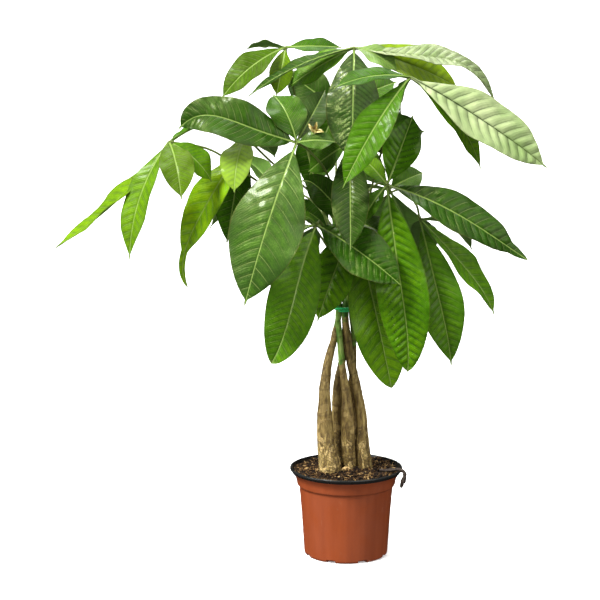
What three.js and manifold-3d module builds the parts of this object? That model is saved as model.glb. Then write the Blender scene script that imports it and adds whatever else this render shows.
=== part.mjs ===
// Potted money tree: five braided stems in a plastic nursery pot, with palmate leaves on long stalks.
// Millimetres. +Z is up, -Y is the front, and the origin is the centre of the pot's underside.
import * as THREE from "three";
import { mergeVertices } from "three/addons/utils/BufferGeometryUtils.js";
import Module from "manifold-3d";

const wasm = await Module();
wasm.setup();

// Driving dimensions
const seatGap = 0.3; // clearance between touching pieces
const potHeight = 102;
const rimRadius = 65;
const baseRadius = 48;
const potWall = 1.6;
const potFloor = 3;
const potFacets = 36;
const drainSlots = 8;
const slotWide = 11;
const slotHigh = 3.4;
const slotDeep = 14;
const soilTop = 97; // level of the soil at the pot's wall
const soilMound = 4.5; // how much higher the soil stands round the stems
const soilRadius = 60.2; // edge of the soil's top
const soilShares = [1, 0.84, 0.6, 0.3]; // rings of the soil's top, as shares of its radius
const lumpHigh = 1.3; // height of the soil's broad lumps
const clodHigh = 0.8; // height of the smaller ones between them
const stemSides = 9;
const stemSteps = 13;
const shootSides = 8;
const shootSteps = 7;
const stalkRadius = 1.5;
const stalkSides = 5;
const stalkSteps = 7;
const knuckleRadius = 3; // swelling where a leaf's blades meet its stalk
const bladeThick = 0.9;
const bladeRootThick = 2.4;
const bladeRootShare = 0.12; // share of a blade's length over which it thins from its root
const bladeRootWide = 3.2;
const bladeTipWide = 1.2;
const bladeFold = 0.2; // how far each half of a blade lifts from its rib, per unit of width
const bladeWave = 0.05; // height of the wave in a blade's edge, per unit of width
const waveCount = 2.4;
const waveShift = 1.7; // phase by which the waves of one blade differ from the next
const bladeStart = 0.05; // share of the rib left bare at the root
const bladeFlesh = 0.91; // share of the rib that carries the leaf's flesh
const bladeLate = 1.14; // above 1, the widest place lies past the middle
const bladeFull = 0.84; // below 1, the outline is fuller than a sine
const latePeak = 256 / 27; // makes share^3 (1 - share) 1 where it is highest, at three quarters of the rib
const longBlade = 100; // a blade longer than this is cut finer along its length
const bladeStations = [0, 0.09, 0.3, 0.56, 0.82, 0.95, 1];
const longBladeStations = [0, 0.07, 0.2, 0.36, 0.54, 0.72, 0.87, 0.96, 1];
const tieWire = 1.3; // radius of the green wire tie
const tieLevel = 289;
const tieTurns = 2;
const tiePitch = 2.9;
const tieSlack = 0.35; // how loosely the wire lies round the shoots
const tieSteps = 36;
const tieSides = 5;
const rootSides = 6;
const rootSteps = 14;
const nearStraight = 0.02; // a limb that bends less than this has no plane of its own
const weldTolerance = 1e-3;

const finishes = {
  pot: { color: 0x9c4f30, roughness: 0.55 },
  soil: { color: 0x3a2a1e, roughness: 1 },
  bark: { color: 0x85704a, roughness: 0.85 },
  shoot: { color: 0x6a8f45, roughness: 0.55 },
  tie: { color: 0x0f8a4a, roughness: 0.25 },
  root: { color: 0x2f2119, roughness: 0.9 },
  leaf: { color: 0x3f7020, roughness: 0.4 },
  youngLeaf: { color: 0x86b01e, roughness: 0.4 },
};

// Solids and meshes

function solidOf(geometry) {
  const loose = geometry.index ? geometry.toNonIndexed() : geometry;
  const bare = new THREE.BufferGeometry();
  bare.setAttribute("position", loose.getAttribute("position"));
  const welded = mergeVertices(bare, weldTolerance);
  const mesh = new wasm.Mesh({
    numProp: 3,
    vertProperties: welded.attributes.position.array,
    triVerts: new Uint32Array(welded.index.array),
  });
  return new wasm.Manifold(mesh);
}

function geometryOf(solid) {
  const mesh = solid.getMesh();
  const geometry = new THREE.BufferGeometry();
  geometry.setAttribute("position", new THREE.BufferAttribute(mesh.vertProperties, 3));
  geometry.setIndex(new THREE.BufferAttribute(mesh.triVerts, 1));
  geometry.computeVertexNormals();
  return geometry;
}

// A cut can leave crumbs behind: only the largest body is kept.
function largestBody(solid) {
  const bodies = solid.decompose();
  return bodies.reduce((best, body) => (body.volume() > best.volume() ? body : best));
}

function meshOf(name, solid, finish) {
  const material = new THREE.MeshStandardMaterial({ ...finishes[finish], metalness: 0 });
  const mesh = new THREE.Mesh(geometryOf(solid), material);
  mesh.name = name;
  return mesh;
}

// A closed skin over rings of points that all have the same number of points, with a flat fan at each end.
function skinOver(rings) {
  const sides = rings[0].length;
  const middle = (ring) =>
    ring.reduce((sum, p) => sum.add(p), new THREE.Vector3()).divideScalar(sides);
  const points = [...rings.flat(), middle(rings[0]), middle(rings[rings.length - 1])];
  const first = points.length - 2;
  const last = points.length - 1;
  const faces = [];
  for (let i = 0; i < rings.length - 1; i++) {
    for (let j = 0; j < sides; j++) {
      const a = i * sides + j;
      const b = i * sides + ((j + 1) % sides);
      faces.push(a, b, b + sides, a, b + sides, a + sides);
    }
  }
  for (let j = 0; j < sides; j++) {
    const next = (j + 1) % sides;
    const top = (rings.length - 1) * sides;
    faces.push(first, next, j, last, top + j, top + next);
  }
  const geometry = new THREE.BufferGeometry().setFromPoints(points);
  geometry.setIndex(faces);
  return solidOf(geometry);
}

// Stems, shoots and stalks: a round section carried along a curve through hand-placed points.
// Each row is x, y, z and radius. A part of the curve is taken from one share of its length to another.
function limb(rows, { sides, steps, from = 0, to = 1, grow = 0 }) {
  const spine = rows.map((row) => new THREE.Vector3(row[0], row[1], row[2]));
  const curve = new THREE.CatmullRomCurve3(spine, false, "catmullrom", 0.5);
  const chord = spine[spine.length - 1].clone().sub(spine[0]);
  const lean = curve.getPoint(0.5).sub(spine[0]);
  const level = new THREE.Vector3().crossVectors(lean, chord);
  if (level.length() < nearStraight * chord.lengthSq()) level.set(1, 0, 0);
  const rings = [];
  for (let i = 0; i <= steps; i++) {
    const t = from + ((to - from) * i) / steps;
    const centre = curve.getPoint(t);
    const along = curve.getTangent(t);
    const right = new THREE.Vector3().crossVectors(level, along).normalize();
    const up = new THREE.Vector3().crossVectors(along, right);
    const place = t * (rows.length - 1);
    const row = Math.min(Math.floor(place), rows.length - 2);
    const radius = THREE.MathUtils.lerp(rows[row][3], rows[row + 1][3], place - row) + grow;
    const ring = [];
    for (let j = 0; j < sides; j++) {
      const angle = (2 * Math.PI * j) / sides;
      const point = centre.clone().addScaledVector(right, radius * Math.cos(angle));
      ring.push(point.addScaledVector(up, radius * Math.sin(angle)));
    }
    rings.push(ring);
  }
  return skinOver(rings);
}

// Pot: a tapered shell with a flared lip, a moulded ridge below it and drain slots round the foot

const potOutside = [
  [0, 0],
  [baseRadius - 1, 0],
  [baseRadius, 2],
  [50.9, 45],
  [53.9, 80.4],
  [54.4, 81.2],
  [56.2, 82.4],
  [56.6, 83.6],
  [58.2, 92],
  [rimRadius - 0.8, 99],
  [rimRadius, potHeight - 1],
  [rimRadius - 1, potHeight],
];
const potInside = [
  [rimRadius - 2.6, potHeight],
  [61.6, 98],
  [56.4, 92],
  [53, 84],
  [52.6, 75],
  [48.9, 45],
  [baseRadius - potWall, potFloor],
  [0, potFloor],
];

function potSolid() {
  const outline = [...potOutside, ...potInside].map(([r, z]) => new THREE.Vector2(r, z));
  let pot = solidOf(new THREE.LatheGeometry(outline, potFacets).rotateX(Math.PI / 2));
  for (let i = 0; i < drainSlots; i++) {
    const slot = new THREE.BoxGeometry(slotDeep, slotWide, 2 * slotHigh);
    slot.translate(baseRadius, 0, 0).rotateZ((2 * Math.PI * (i + 0.5)) / drainSlots);
    pot = pot.subtract(solidOf(slot));
  }
  return pot;
}

// Stems: x, y, z and radius from the woody foot in the soil up through the green shoot above.
// green is the share of the stem's curve at which the bark ends.

const stems = [
  {
    name: "front_left",
    green: 0.74,
    rows: [
      [-17, -12, 56, 8],
      [-17, -14, 96, 13],
      [-21.6, -13, 122, 11.4],
      [-25, -12, 158, 8.8],
      [-25, -10, 192, 6.5],
      [-22, -5, 222, 5.2],
      [-14, 0.4, 254, 4],
      [-8.4, 1.7, 289, 3.1],
      [-14, -4.6, 330, 3],
      [-24, -8, 372, 2.4],
    ],
  },
  {
    name: "front_middle",
    green: 0.58,
    rows: [
      [6, -4, 56, 6.5],
      [4.5, -3, 96, 7.4],
      [2, -5, 122, 8],
      [1.4, -7.6, 158, 7.6],
      [-0.6, -8.6, 192, 5],
      [-5, -8, 222, 3.9],
      [-8, -6.8, 254, 3.5],
      [-9.8, -5.4, 289, 3.1],
      [-4, -8, 335, 3],
      [-1, -11, 385, 2.4],
    ],
  },
  {
    name: "back_left",
    green: 0.68,
    rows: [
      [-7, 20, 56, 7.5],
      [-7, 19, 96, 9],
      [-8.5, 16, 130, 7.4],
      [-9.8, 12, 168, 6.8],
      [-9.4, 9, 196, 5.8],
      [-5, 8.4, 224, 4.2],
      [-2, 6.4, 256, 3.6],
      [-1.5, 2.6, 289, 3.1],
      [-9, 9, 338, 3],
      [-15, 17, 392, 2.4],
    ],
  },
  {
    name: "right",
    green: 0.69,
    rows: [
      [24, 1, 56, 7.5],
      [21.5, 0, 96, 9],
      [19, -1, 124, 8],
      [17.4, -2, 160, 6.3],
      [11.6, -2, 196, 5.2],
      [5.2, -1.8, 224, 5.2],
      [0.8, -2.8, 254, 4.6],
      [-1.8, -5.2, 289, 3.7],
      [8, -5, 334, 3],
      [16, -6, 380, 2.4],
    ],
  },
  {
    name: "back_right",
    green: 0.6,
    rows: [
      [12, 23, 56, 6],
      [11, 22, 96, 7.4],
      [8, 18, 130, 6],
      [7, 15, 168, 5.4],
      [6.4, 12, 196, 4.4],
      [8.4, 7.4, 224, 3.2],
      [8, 2.6, 256, 3],
      [4.8, -0.4, 289, 3.1],
      [4, 8, 342, 3],
      [11, 15, 400, 2.4],
    ],
  },
];

function jointShare(length) {
  return (0.5 * seatGap) / length;
}

function stemLength(stem) {
  const spine = stem.rows.map((row) => new THREE.Vector3(row[0], row[1], row[2]));
  return new THREE.CatmullRomCurve3(spine, false, "catmullrom", 0.5).getLength();
}

function trunkSolid(stem, grow = 0) {
  const to = stem.green - jointShare(stemLength(stem));
  return limb(stem.rows, { sides: stemSides, steps: stemSteps, to, grow });
}

function shootSolid(stem, grow = 0) {
  const from = stem.green + jointShare(stemLength(stem));
  return limb(stem.rows, { sides: shootSides, steps: shootSteps, from, grow });
}

// Soil: fills the pot, mounded round the stems, with a rough top, and holed where each stem stands

function soilLevel(x, y) {
  const share = Math.hypot(x, y) / soilRadius;
  const lumps = lumpHigh * Math.sin(0.31 * x + 1) * Math.cos(0.27 * y);
  const clods = clodHigh * Math.sin(0.62 * y - 0.5 * x);
  return soilTop + soilMound * (1 - share * share) + (1 - share ** 4) * (lumps + clods);
}

function soilSolid() {
  const inner = potInside.map(([r, z]) => [r - seatGap, z + seatGap]).reverse();
  const wall = inner.filter(([r, z]) => r > 1 && z < soilTop);
  const ring = (radius, level) =>
    Array.from({ length: potFacets }, (_, j) => {
      const angle = (2 * Math.PI * j) / potFacets;
      const x = radius * Math.cos(angle);
      const y = radius * Math.sin(angle);
      return new THREE.Vector3(x, y, level(x, y));
    });
  const rings = wall.map(([r, z]) => ring(r, () => z));
  for (const share of soilShares) rings.push(ring(soilRadius * share, soilLevel));
  let soil = skinOver(rings);
  for (const stem of stems) {
    const hole = trunkSolid(stem, seatGap);
    soil = soil.subtract(hole).subtract(hole.translate([0, 0, -seatGap]));
  }
  return largestBody(soil);
}

// Tie: plastic-covered wire wound twice round the five shoots. Its section is set out from the axis
// of the winding.

function tieSolid() {
  const shoots = stems.map((stem) => stem.rows.find((row) => row[2] === tieLevel));
  const path = [];
  for (let i = 0; i <= tieSteps; i++) {
    const turn = (tieTurns * i) / tieSteps;
    const angle = 2 * Math.PI * turn - 0.5 * Math.PI;
    const facing = new THREE.Vector3(Math.cos(angle), Math.sin(angle), 0);
    const reach = ([x, y]) => x * facing.x + y * facing.y;
    const outer = shoots.reduce((best, row) => (reach(row) > reach(best) ? row : best));
    const point = facing.multiplyScalar(outer[3] + seatGap + tieWire + tieSlack);
    point.add(new THREE.Vector3(outer[0], outer[1], tieLevel + tiePitch * (turn - 0.5 * tieTurns)));
    path.push(point);
  }
  const curve = new THREE.CatmullRomCurve3(path, false, "catmullrom", 0.5);
  const upright = new THREE.Vector3(0, 0, 1);
  const rings = path.map((centre, i) => {
    const along = curve.getTangent(i / tieSteps);
    const out = new THREE.Vector3().crossVectors(along, upright).normalize();
    const up = new THREE.Vector3().crossVectors(out, along);
    return Array.from({ length: tieSides }, (_, j) => {
      const angle = (-2 * Math.PI * j) / tieSides;
      const point = centre.clone().addScaledVector(out, tieWire * Math.cos(angle));
      return point.addScaledVector(up, tieWire * Math.sin(angle));
    });
  });
  return skinOver(rings);
}

// Dried root that lies on the soil and hooks over the lip on the right

const driedRoot = [
  [38, -15, 101.9, 1.3],
  [45, -17, 101.8, 1.6],
  [53, -20, 103.2, 1.8],
  [60, -23.4, 104.4, 1.8],
  [65.6, -26, 102, 1.9],
  [66, -26.4, 96, 2.2],
  [63.6, -25.6, 89, 2.4],
  [62.2, -25, 84, 1],
];

// Leaves. A leaf is a stalk and the blades that spread from its end, the hub.
// tip: where the blade ends, from the hub. wide: its width. bow: how far its middle stands out along
// its face. face: compass heading and rise, in degrees, of its upper side (heading -90 is the front).
// turn: how far, and which way, the blade stands off before its last part turns back. neck: how much
// wider its tip is than a plain one. fold, flesh and full: the blade's own fold, share of rib that
// carries flesh and fullness, where they differ from the rest.

const leaves = [
  {
    name: "leaf_front_left",
    finish: "leaf",
    stem: 1,
    stalk: [[-1.4, -9.4, 366], [-8, -10, 402], [-24, -22, 446], [-43, -46, 472], [-57, -60, 483]],
    blades: [
      { tip: [-131, 10, 12], wide: 50, bow: 16, turn: [0, 0, 15], face: [-97, 32], full: 0.5 },
      { tip: [-26, 30, 50], wide: 47, bow: 9, face: [-66, 15] },
      { tip: [32, 66, 52], wide: 32, bow: 4, face: [-80, 10] },
      { tip: [-57, -50, -174], wide: 80, bow: 18, face: [-98, 12], full: 0.8, fold: -0.08 },
      { tip: [42, -2, 1], wide: 26, bow: 5, face: [-90, 35] },
    ],
  },
  {
    name: "leaf_far_left",
    finish: "youngLeaf",
    stem: 0,
    stalk: [[-20.5, -7.4, 358], [-56, -14, 406], [-102, -47, 440], [-150, -57, 474], [-196, -70, 485]],
    blades: [
      { tip: [-128, 0, -118], wide: 44, bow: -8, face: [-165, 35], neck: 6 },
      { tip: [-43, -25, -127], wide: 37, bow: 16, face: [-130, 5] },
      { tip: [16, -50, -57], wide: 38, bow: 12, face: [-80, 35] },
      { tip: [46, 8, -44], wide: 34, bow: 8, face: [-72, 44] },
      { tip: [58, 66, 14], wide: 30, bow: 6, face: [90, 70] },
    ],
  },
  {
    name: "leaf_middle_left",
    finish: "youngLeaf",
    stem: 2,
    stalk: [[-14.6, 16.6, 388], [-46, 4, 424], [-82, -18, 454], [-113, -32, 486]],
    blades: [
      { tip: [-12, -46, -56], wide: 38, bow: 10, face: [-108, 22], full: 0.72 },
      {
        tip: [-65, -16, -167],
        wide: 50,
        bow: 13,
        turn: [-13, 0, -2],
        face: [-130, 15],
        flesh: 0.76,
        full: 1.3,
        neck: 7,
      },
      { tip: [-23, 26, -124], wide: 42, bow: 4, face: [-105, 0] },
      { tip: [-25, 62, 14], wide: 32, bow: 8, face: [110, 50] },
      { tip: [32, 62, -30], wide: 30, bow: 8, face: [70, 50] },
    ],
  },
  {
    name: "leaf_top",
    finish: "leaf",
    stem: 4,
    stalk: [[7, 11, 370], [14, 14, 440], [10, 7, 530], [7, 0, 583]],
    blades: [
      { tip: [-119, 0, -55], wide: 26, bow: 8, face: [-120, 70] },
      { tip: [161, -10, -70], wide: 42, bow: 14, turn: [2, 0, 22], face: [-80, 70] },
      { tip: [48, -10, -26], wide: 30, bow: 6, face: [-70, 45] },
      { tip: [-3, -50, -122], wide: 60, bow: 10, face: [-92, 12], full: 0.62, fold: -0.15 },
      { tip: [121, 34, -49], wide: 48, bow: 8, face: [-75, 38] },
      { tip: [-75, 24, -47], wide: 34, bow: 3, face: [-95, 42] },
    ],
  },
  {
    name: "leaf_top_right",
    finish: "youngLeaf",
    stem: 3,
    stalk: [[11, -5.4, 352], [28, -8, 430], [52, -30, 520], [67, -50, 554]],
    blades: [
      { tip: [-74, -30, -119], wide: 43, bow: 12, face: [-110, 20] },
      { tip: [-84, -15, -11], wide: 30, bow: 8, face: [-95, 62] },
      { tip: [151, -15, -99], wide: 60, bow: 7, turn: [2, 0, -1], face: [-75, 36] },
      { tip: [82, 34, -106], wide: 32, bow: 17, face: [-60, 30] },
      { tip: [-8, 52, -46], wide: 26, bow: 4, face: [-100, 40] },
    ],
  },
  {
    name: "leaf_middle_right",
    finish: "leaf",
    stem: 3,
    stalk: [[13.5, -5.6, 366], [12, -22, 440], [24, -34, 462], [38, -45, 447], [43, -48, 435]],
    blades: [
      { tip: [29, 16, 76], wide: 42, bow: 6, face: [-88, 12] },
      { tip: [-30, 6, 32], wide: 22, bow: 4, face: [-90, 30] },
      {
        tip: [156, -15, -82],
        wide: 48,
        bow: 16,
        turn: [0, 0, -3],
        face: [-75, 38],
        flesh: 0.84,
        full: 0.7,
        neck: 12,
      },
      { tip: [25, -2, -217], wide: 58, bow: 6, turn: [4, 0, 0], face: [-88, 5], full: 0.66 },
      { tip: [-28, -8, -42], wide: 20, bow: 6, face: [-110, 20] },
    ],
  },
  {
    name: "leaf_lower_right",
    finish: "leaf",
    stem: 3,
    stalk: [[9.5, -5.2, 342], [34, -12, 406], [60, -16, 426], [76, -18, 410], [81, -18, 393]],
    blades: [
      { tip: [37, -8, -168], wide: 51, bow: 9, turn: [2, 0, 0], face: [-85, 10] },
      { tip: [85, -5, -109], wide: 42, bow: 6, turn: [4, 0, -1], face: [-40, 34] },
      { tip: [64, 56, -44], wide: 34, bow: 12, face: [40, 50] },
      { tip: [14, 66, -62], wide: 32, bow: 10, face: [90, 40] },
    ],
  },
  {
    name: "leaf_lower_middle",
    finish: "leaf",
    stem: 0,
    stalk: [[-15, -6.4, 334], [-23, -16, 366], [-30, -32, 391], [-35, -42, 390]],
    blades: [
      { tip: [-52, -18, -159], wide: 57, bow: 14, turn: [5, 0, 0], face: [-95, 12], full: 0.6 },
      { tip: [93, -32, -63], wide: 56, bow: 8, face: [-75, 25], full: 0.7 },
      { tip: [-67, 29, -46], wide: 30, bow: 10, face: [-140, 40] },
      { tip: [-16, 52, -66], wide: 28, bow: 7, face: [100, 35] },
      { tip: [-24, -20, 14], wide: 18, bow: 4, face: [-110, 50] },
    ],
  },
  {
    name: "leaf_top_left",
    finish: "youngLeaf",
    stem: 2,
    stalk: [[-9.8, 10, 345], [-28, 16, 400], [-46, 28, 470], [-62, 36, 540], [-70, 34, 581]],
    blades: [
      { tip: [-72, -15, -57], wide: 37, bow: 12, face: [-110, 33] },
      { tip: [-44, 5, -2], wide: 24, bow: 3, face: [100, 68] },
      { tip: [-10, -15, -54], wide: 27, bow: 4, face: [-84, 4] },
      { tip: [64, -4, 0], wide: 22, bow: 2, face: [-95, 48] },
    ],
  },
  {
    name: "leaf_centre",
    finish: "leaf",
    stem: 1,
    stalk: [[-1.2, -10, 372], [-3, -14, 430], [2, -20, 470], [2, -25, 480]],
    blades: [
      { tip: [0, -52, -114], wide: 42, bow: 6, face: [-90, 8], full: 0.7 },
      { tip: [-46, 30, -37], wide: 28, bow: 4, face: [-100, 20] },
      { tip: [87, 66, 5], wide: 48, bow: 6, face: [-82, 8] },
    ],
  },
  {
    name: "leaf_inner",
    finish: "leaf",
    stem: 3,
    stalk: [[6.6, -4.6, 322], [12, -16, 368], [10, -23, 390], [8, -24, 390]],
    blades: [
      { tip: [-60, 4, 45], wide: 34, bow: 3, turn: [0, 0, 8], face: [-95, 20] },
      { tip: [-42, -10, -112], wide: 50, bow: 8, face: [-100, 15] },
      { tip: [44, 0, -196], wide: 60, bow: 10, face: [-85, 5], full: 0.66 },
      { tip: [47, -12, -22], wide: 36, bow: 6, face: [-80, 40] },
    ],
  },
  {
    name: "leaf_back_right",
    finish: "leaf",
    stem: 4,
    stalk: [[9.4, 13.4, 386], [24, 36, 416], [42, 62, 424], [50, 70, 415]],
    blades: [
      { tip: [40, 10, 18], wide: 34, bow: 4, face: [-90, 30] },
      { tip: [40, 44, -130], wide: 44, bow: 14, face: [60, 30] },
      { tip: [-5, 50, -140], wide: 48, bow: 16, face: [90, 25] },
      { tip: [-50, 30, 45], wide: 36, bow: 6, face: [-85, 25] },
      { tip: [-60, 50, -30], wide: 38, bow: 12, face: [120, 55] },
    ],
  },
  {
    name: "leaf_back_left",
    finish: "leaf",
    stem: 2,
    stalk: [[-13, 14.4, 374], [-38, 42, 404], [-64, 68, 412], [-75, 75, 400]],
    blades: [
      { tip: [-32, 30, -92], wide: 40, bow: 12, face: [120, 30] },
      { tip: [-85, 25, -35], wide: 36, bow: 14, face: [140, 55] },
      { tip: [0, 40, -135], wide: 46, bow: 16, face: [90, 25] },
      { tip: [60, 45, -50], wide: 38, bow: 12, face: [-85, 45] },
      { tip: [-50, 40, 50], wide: 34, bow: 8, face: [80, 40] },
    ],
  },
  {
    name: "leaf_back_top",
    finish: "leaf",
    stem: 2,
    stalk: [[-11.6, 12.6, 362], [-12, 44, 450], [-12, 84, 500], [-12, 102, 505]],
    blades: [
      { tip: [-70, 35, -15], wide: 38, bow: 12, face: [110, 55] },
      { tip: [98, 35, -39], wide: 42, bow: 14, face: [-90, 40] },
      { tip: [-35, 12, -92], wide: 50, bow: 6, face: [-92, 15] },
      { tip: [40, 65, -85], wide: 42, bow: 16, face: [70, 35] },
      { tip: [72, 20, 30], wide: 44, bow: 6, face: [-88, 25] },
      { tip: [-58, 8, 42], wide: 48, bow: 5, face: [-90, 25] },
    ],
  },
  {
    name: "leaf_back_low",
    finish: "leaf",
    stem: 4,
    stalk: [[3, 6.9, 328], [16, 28, 356], [33, 47, 358], [40, 52, 345]],
    blades: [
      { tip: [80, 25, -30], wide: 34, bow: 12, face: [50, 55] },
      { tip: [38, 30, -100], wide: 40, bow: 12, face: [60, 30] },
      { tip: [-12, 40, -105], wide: 40, bow: 12, face: [100, 30] },
      { tip: [-78, 10, -20], wide: 38, bow: 6, face: [-95, 10] },
    ],
  },
];

function lateRise(share) {
  return latePeak * share ** 3 * (1 - share);
}

function lateSlope(share) {
  return latePeak * share ** 2 * (3 - 4 * share);
}

// Half the width of a blade at a share of its length: narrow root, widest past the middle, drip tip.
function halfWidth(share, { wide, neck = 0, flesh = bladeFlesh, full = bladeFull }) {
  const along = THREE.MathUtils.clamp((share - bladeStart) / flesh, 0, 1);
  const body = Math.sin(Math.PI * along ** bladeLate) ** full;
  const stem = THREE.MathUtils.lerp(bladeRootWide, bladeTipWide, share) + neck * lateRise(share);
  return 0.5 * Math.max(stem, wide * body);
}

// One blade: its rib runs from the hub to the tip, bowed out along its face and late in its length
// another way too, and its two halves lift from the rib and wave at the edge.
function bladeSolid(hub, blade, index) {
  const tip = new THREE.Vector3(...blade.tip);
  const turn = new THREE.Vector3(...(blade.turn ?? [0, 0, 0]));
  const fold = blade.fold ?? bladeFold;
  const [heading, rise] = blade.face.map(THREE.MathUtils.degToRad);
  const looks = new THREE.Vector3(
    Math.cos(rise) * Math.cos(heading),
    Math.cos(rise) * Math.sin(heading),
    Math.sin(rise),
  );
  const straight = tip.clone().normalize();
  const out = looks.clone().addScaledVector(straight, -looks.dot(straight)).normalize();
  const stations = tip.length() > longBlade ? longBladeStations : bladeStations;
  const rings = stations.map((share) => {
    const rib = hub.clone().addScaledVector(tip, share);
    rib.addScaledVector(out, 4 * blade.bow * share * (1 - share));
    rib.addScaledVector(turn, lateRise(share));
    const along = tip.clone().addScaledVector(out, 4 * blade.bow * (1 - 2 * share));
    along.addScaledVector(turn, lateSlope(share)).normalize();
    const side = new THREE.Vector3().crossVectors(along, out).normalize();
    const face = new THREE.Vector3().crossVectors(side, along);
    const half = halfWidth(share, blade);
    const wave = bladeWave * half * 2;
    const phase = 2 * Math.PI * waveCount * share + waveShift * index;
    const lift = (sign) => fold * half + wave * Math.sin(phase + sign);
    const thinning = Math.min(1, share / bladeRootShare);
    const thick = THREE.MathUtils.lerp(bladeRootThick, bladeThick, thinning);
    const at = (across, height) =>
      rib.clone().addScaledVector(side, across).addScaledVector(face, height);
    const left = lift(-1);
    const right = lift(1);
    return [
      at(-half, left + thick / 2),
      at(-half, left - thick / 2),
      at(0, -thick / 2),
      at(half, right - thick / 2),
      at(half, right + thick / 2),
      at(0, thick / 2),
    ];
  });
  return bladeSkin(rings);
}

// The skin of a blade, over sections of six points: left top, left bottom, rib bottom, right bottom,
// right top and rib top. Both faces are split along the same diagonals.
function bladeSkin(rings) {
  const count = rings[0].length;
  const faces = [];
  for (let i = 0; i < rings.length - 1; i++) {
    const a = i * count;
    const b = a + count;
    const strip = (near, far, flip) => {
      if (flip) faces.push(a + near, b + near, a + far, a + far, b + near, b + far);
      else faces.push(a + near, b + far, a + far, a + near, b + near, b + far);
    };
    strip(0, 1, false);
    strip(1, 2, false);
    strip(2, 3, true);
    strip(3, 4, false);
    strip(4, 5, false);
    strip(5, 0, true);
  }
  const end = (rings.length - 1) * count;
  faces.push(0, 2, 5, 0, 1, 2, 5, 3, 4, 5, 2, 3);
  faces.push(end, end + 5, end + 2, end, end + 2, end + 1);
  faces.push(end + 5, end + 4, end + 3, end + 5, end + 3, end + 2);
  const geometry = new THREE.BufferGeometry().setFromPoints(rings.flat());
  geometry.setIndex(faces);
  return solidOf(geometry);
}

function leafSolid(leaf) {
  const route = leaf.stalk;
  const last = route.length - 1;
  const rows = route.map((point, i) => {
    const radius = i === last ? knuckleRadius : stalkRadius;
    return [...point, radius];
  });
  const hub = new THREE.Vector3(...route[last]);
  let solid = limb(rows, { sides: stalkSides, steps: stalkSteps });
  leaf.blades.forEach((blade, i) => {
    solid = solid.add(bladeSolid(hub, blade, i));
  });
  return largestBody(solid.subtract(shootSolid(stems[leaf.stem], seatGap)));
}

// The tree, put together in its pot

const tree = new THREE.Group();
tree.add(meshOf("pot", potSolid(), "pot"));
tree.add(meshOf("soil", soilSolid(), "soil"));
for (const stem of stems) {
  tree.add(meshOf("trunk_" + stem.name, trunkSolid(stem), "bark"));
  tree.add(meshOf("shoot_" + stem.name, shootSolid(stem), "shoot"));
}
tree.add(meshOf("tie", tieSolid(), "tie"));
tree.add(meshOf("dried_root", limb(driedRoot, { sides: rootSides, steps: rootSteps }), "root"));
for (const leaf of leaves) tree.add(meshOf(leaf.name, leafSolid(leaf), leaf.finish));

export default tree;
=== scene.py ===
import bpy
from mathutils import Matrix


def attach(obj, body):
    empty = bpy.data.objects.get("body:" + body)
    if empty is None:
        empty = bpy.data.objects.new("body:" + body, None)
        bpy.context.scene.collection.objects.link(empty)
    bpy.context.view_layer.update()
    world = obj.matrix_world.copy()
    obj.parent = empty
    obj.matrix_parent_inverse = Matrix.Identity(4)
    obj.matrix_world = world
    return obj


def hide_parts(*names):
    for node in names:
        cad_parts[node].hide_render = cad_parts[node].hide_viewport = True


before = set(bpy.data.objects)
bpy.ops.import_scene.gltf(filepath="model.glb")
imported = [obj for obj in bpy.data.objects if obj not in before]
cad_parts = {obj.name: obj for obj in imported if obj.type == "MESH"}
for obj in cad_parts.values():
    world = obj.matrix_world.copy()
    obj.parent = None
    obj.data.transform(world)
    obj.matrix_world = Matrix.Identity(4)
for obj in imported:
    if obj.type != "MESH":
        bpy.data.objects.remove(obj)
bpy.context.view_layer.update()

import math

import bpy
import numpy as np

# The potted money tree, dressed. Lengths are in millimetres until a piece is made, then in metres.
# A surface is a dictionary: points, faces of four and of three, and marks, one number a point, which
# the materials read back by name.

mm = 0.001
fullTurn = 2 * math.pi


def unit(vectors):
    return vectors / np.linalg.norm(vectors, axis=-1, keepdims=True)


def smoothStep(low, high, value):  # 0 below low, 1 above high, and an S between them
    share = np.clip((value - low) / (high - low), 0, 1)
    return share * share * (3 - 2 * share)


def evenTurn(count):  # angles spread evenly round
    return fullTurn * np.arange(count) / count


def onRings(radius, angle, height):
    return np.stack([radius * np.cos(angle), radius * np.sin(angle), height + 0 * angle], -1)


def lengthOf(rows):
    return np.linalg.norm(np.diff(rows[:, :3], axis=0), axis=1).sum()


# Smooth noise of about unit height: the sum of sine waves that cross the points in seeded directions,
# each about size long.
def ripples(points, size, seed, count=9):
    rng = np.random.default_rng(seed)
    crossing = unit(rng.normal(size=(count, 3))) * rng.uniform(0.6, 1.5, (count, 1)) * fullTurn / size
    phase = rng.uniform(0, fullTurn, count)
    return np.sin(points @ crossing.T + phase).sum(-1) / math.sqrt(0.5 * count)


# The curve through rows of numbers: between two rows a cubic, whose slope at each row is half the step
# from the row before it to the row after it. Shares run from 0 at the first row to 1 at the last.
def alongRows(rows, shares):
    rows = np.asarray(rows, float)
    ends = np.vstack([2 * rows[0] - rows[1], rows, 2 * rows[-1] - rows[-2]])
    place = np.clip(shares, 0, 1) * (len(rows) - 1)
    i = np.minimum(place.astype(int), len(rows) - 2)
    w = (place - i)[:, None]
    a, b, c, d = (ends[i + k] for k in range(4))
    bend = w**2 * (a - 2.5 * b + 2 * c - 0.5 * d) + w**3 * (0.5 * (d - a) + 1.5 * (b - c))
    return b + 0.5 * w * (c - a) + bend


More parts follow.
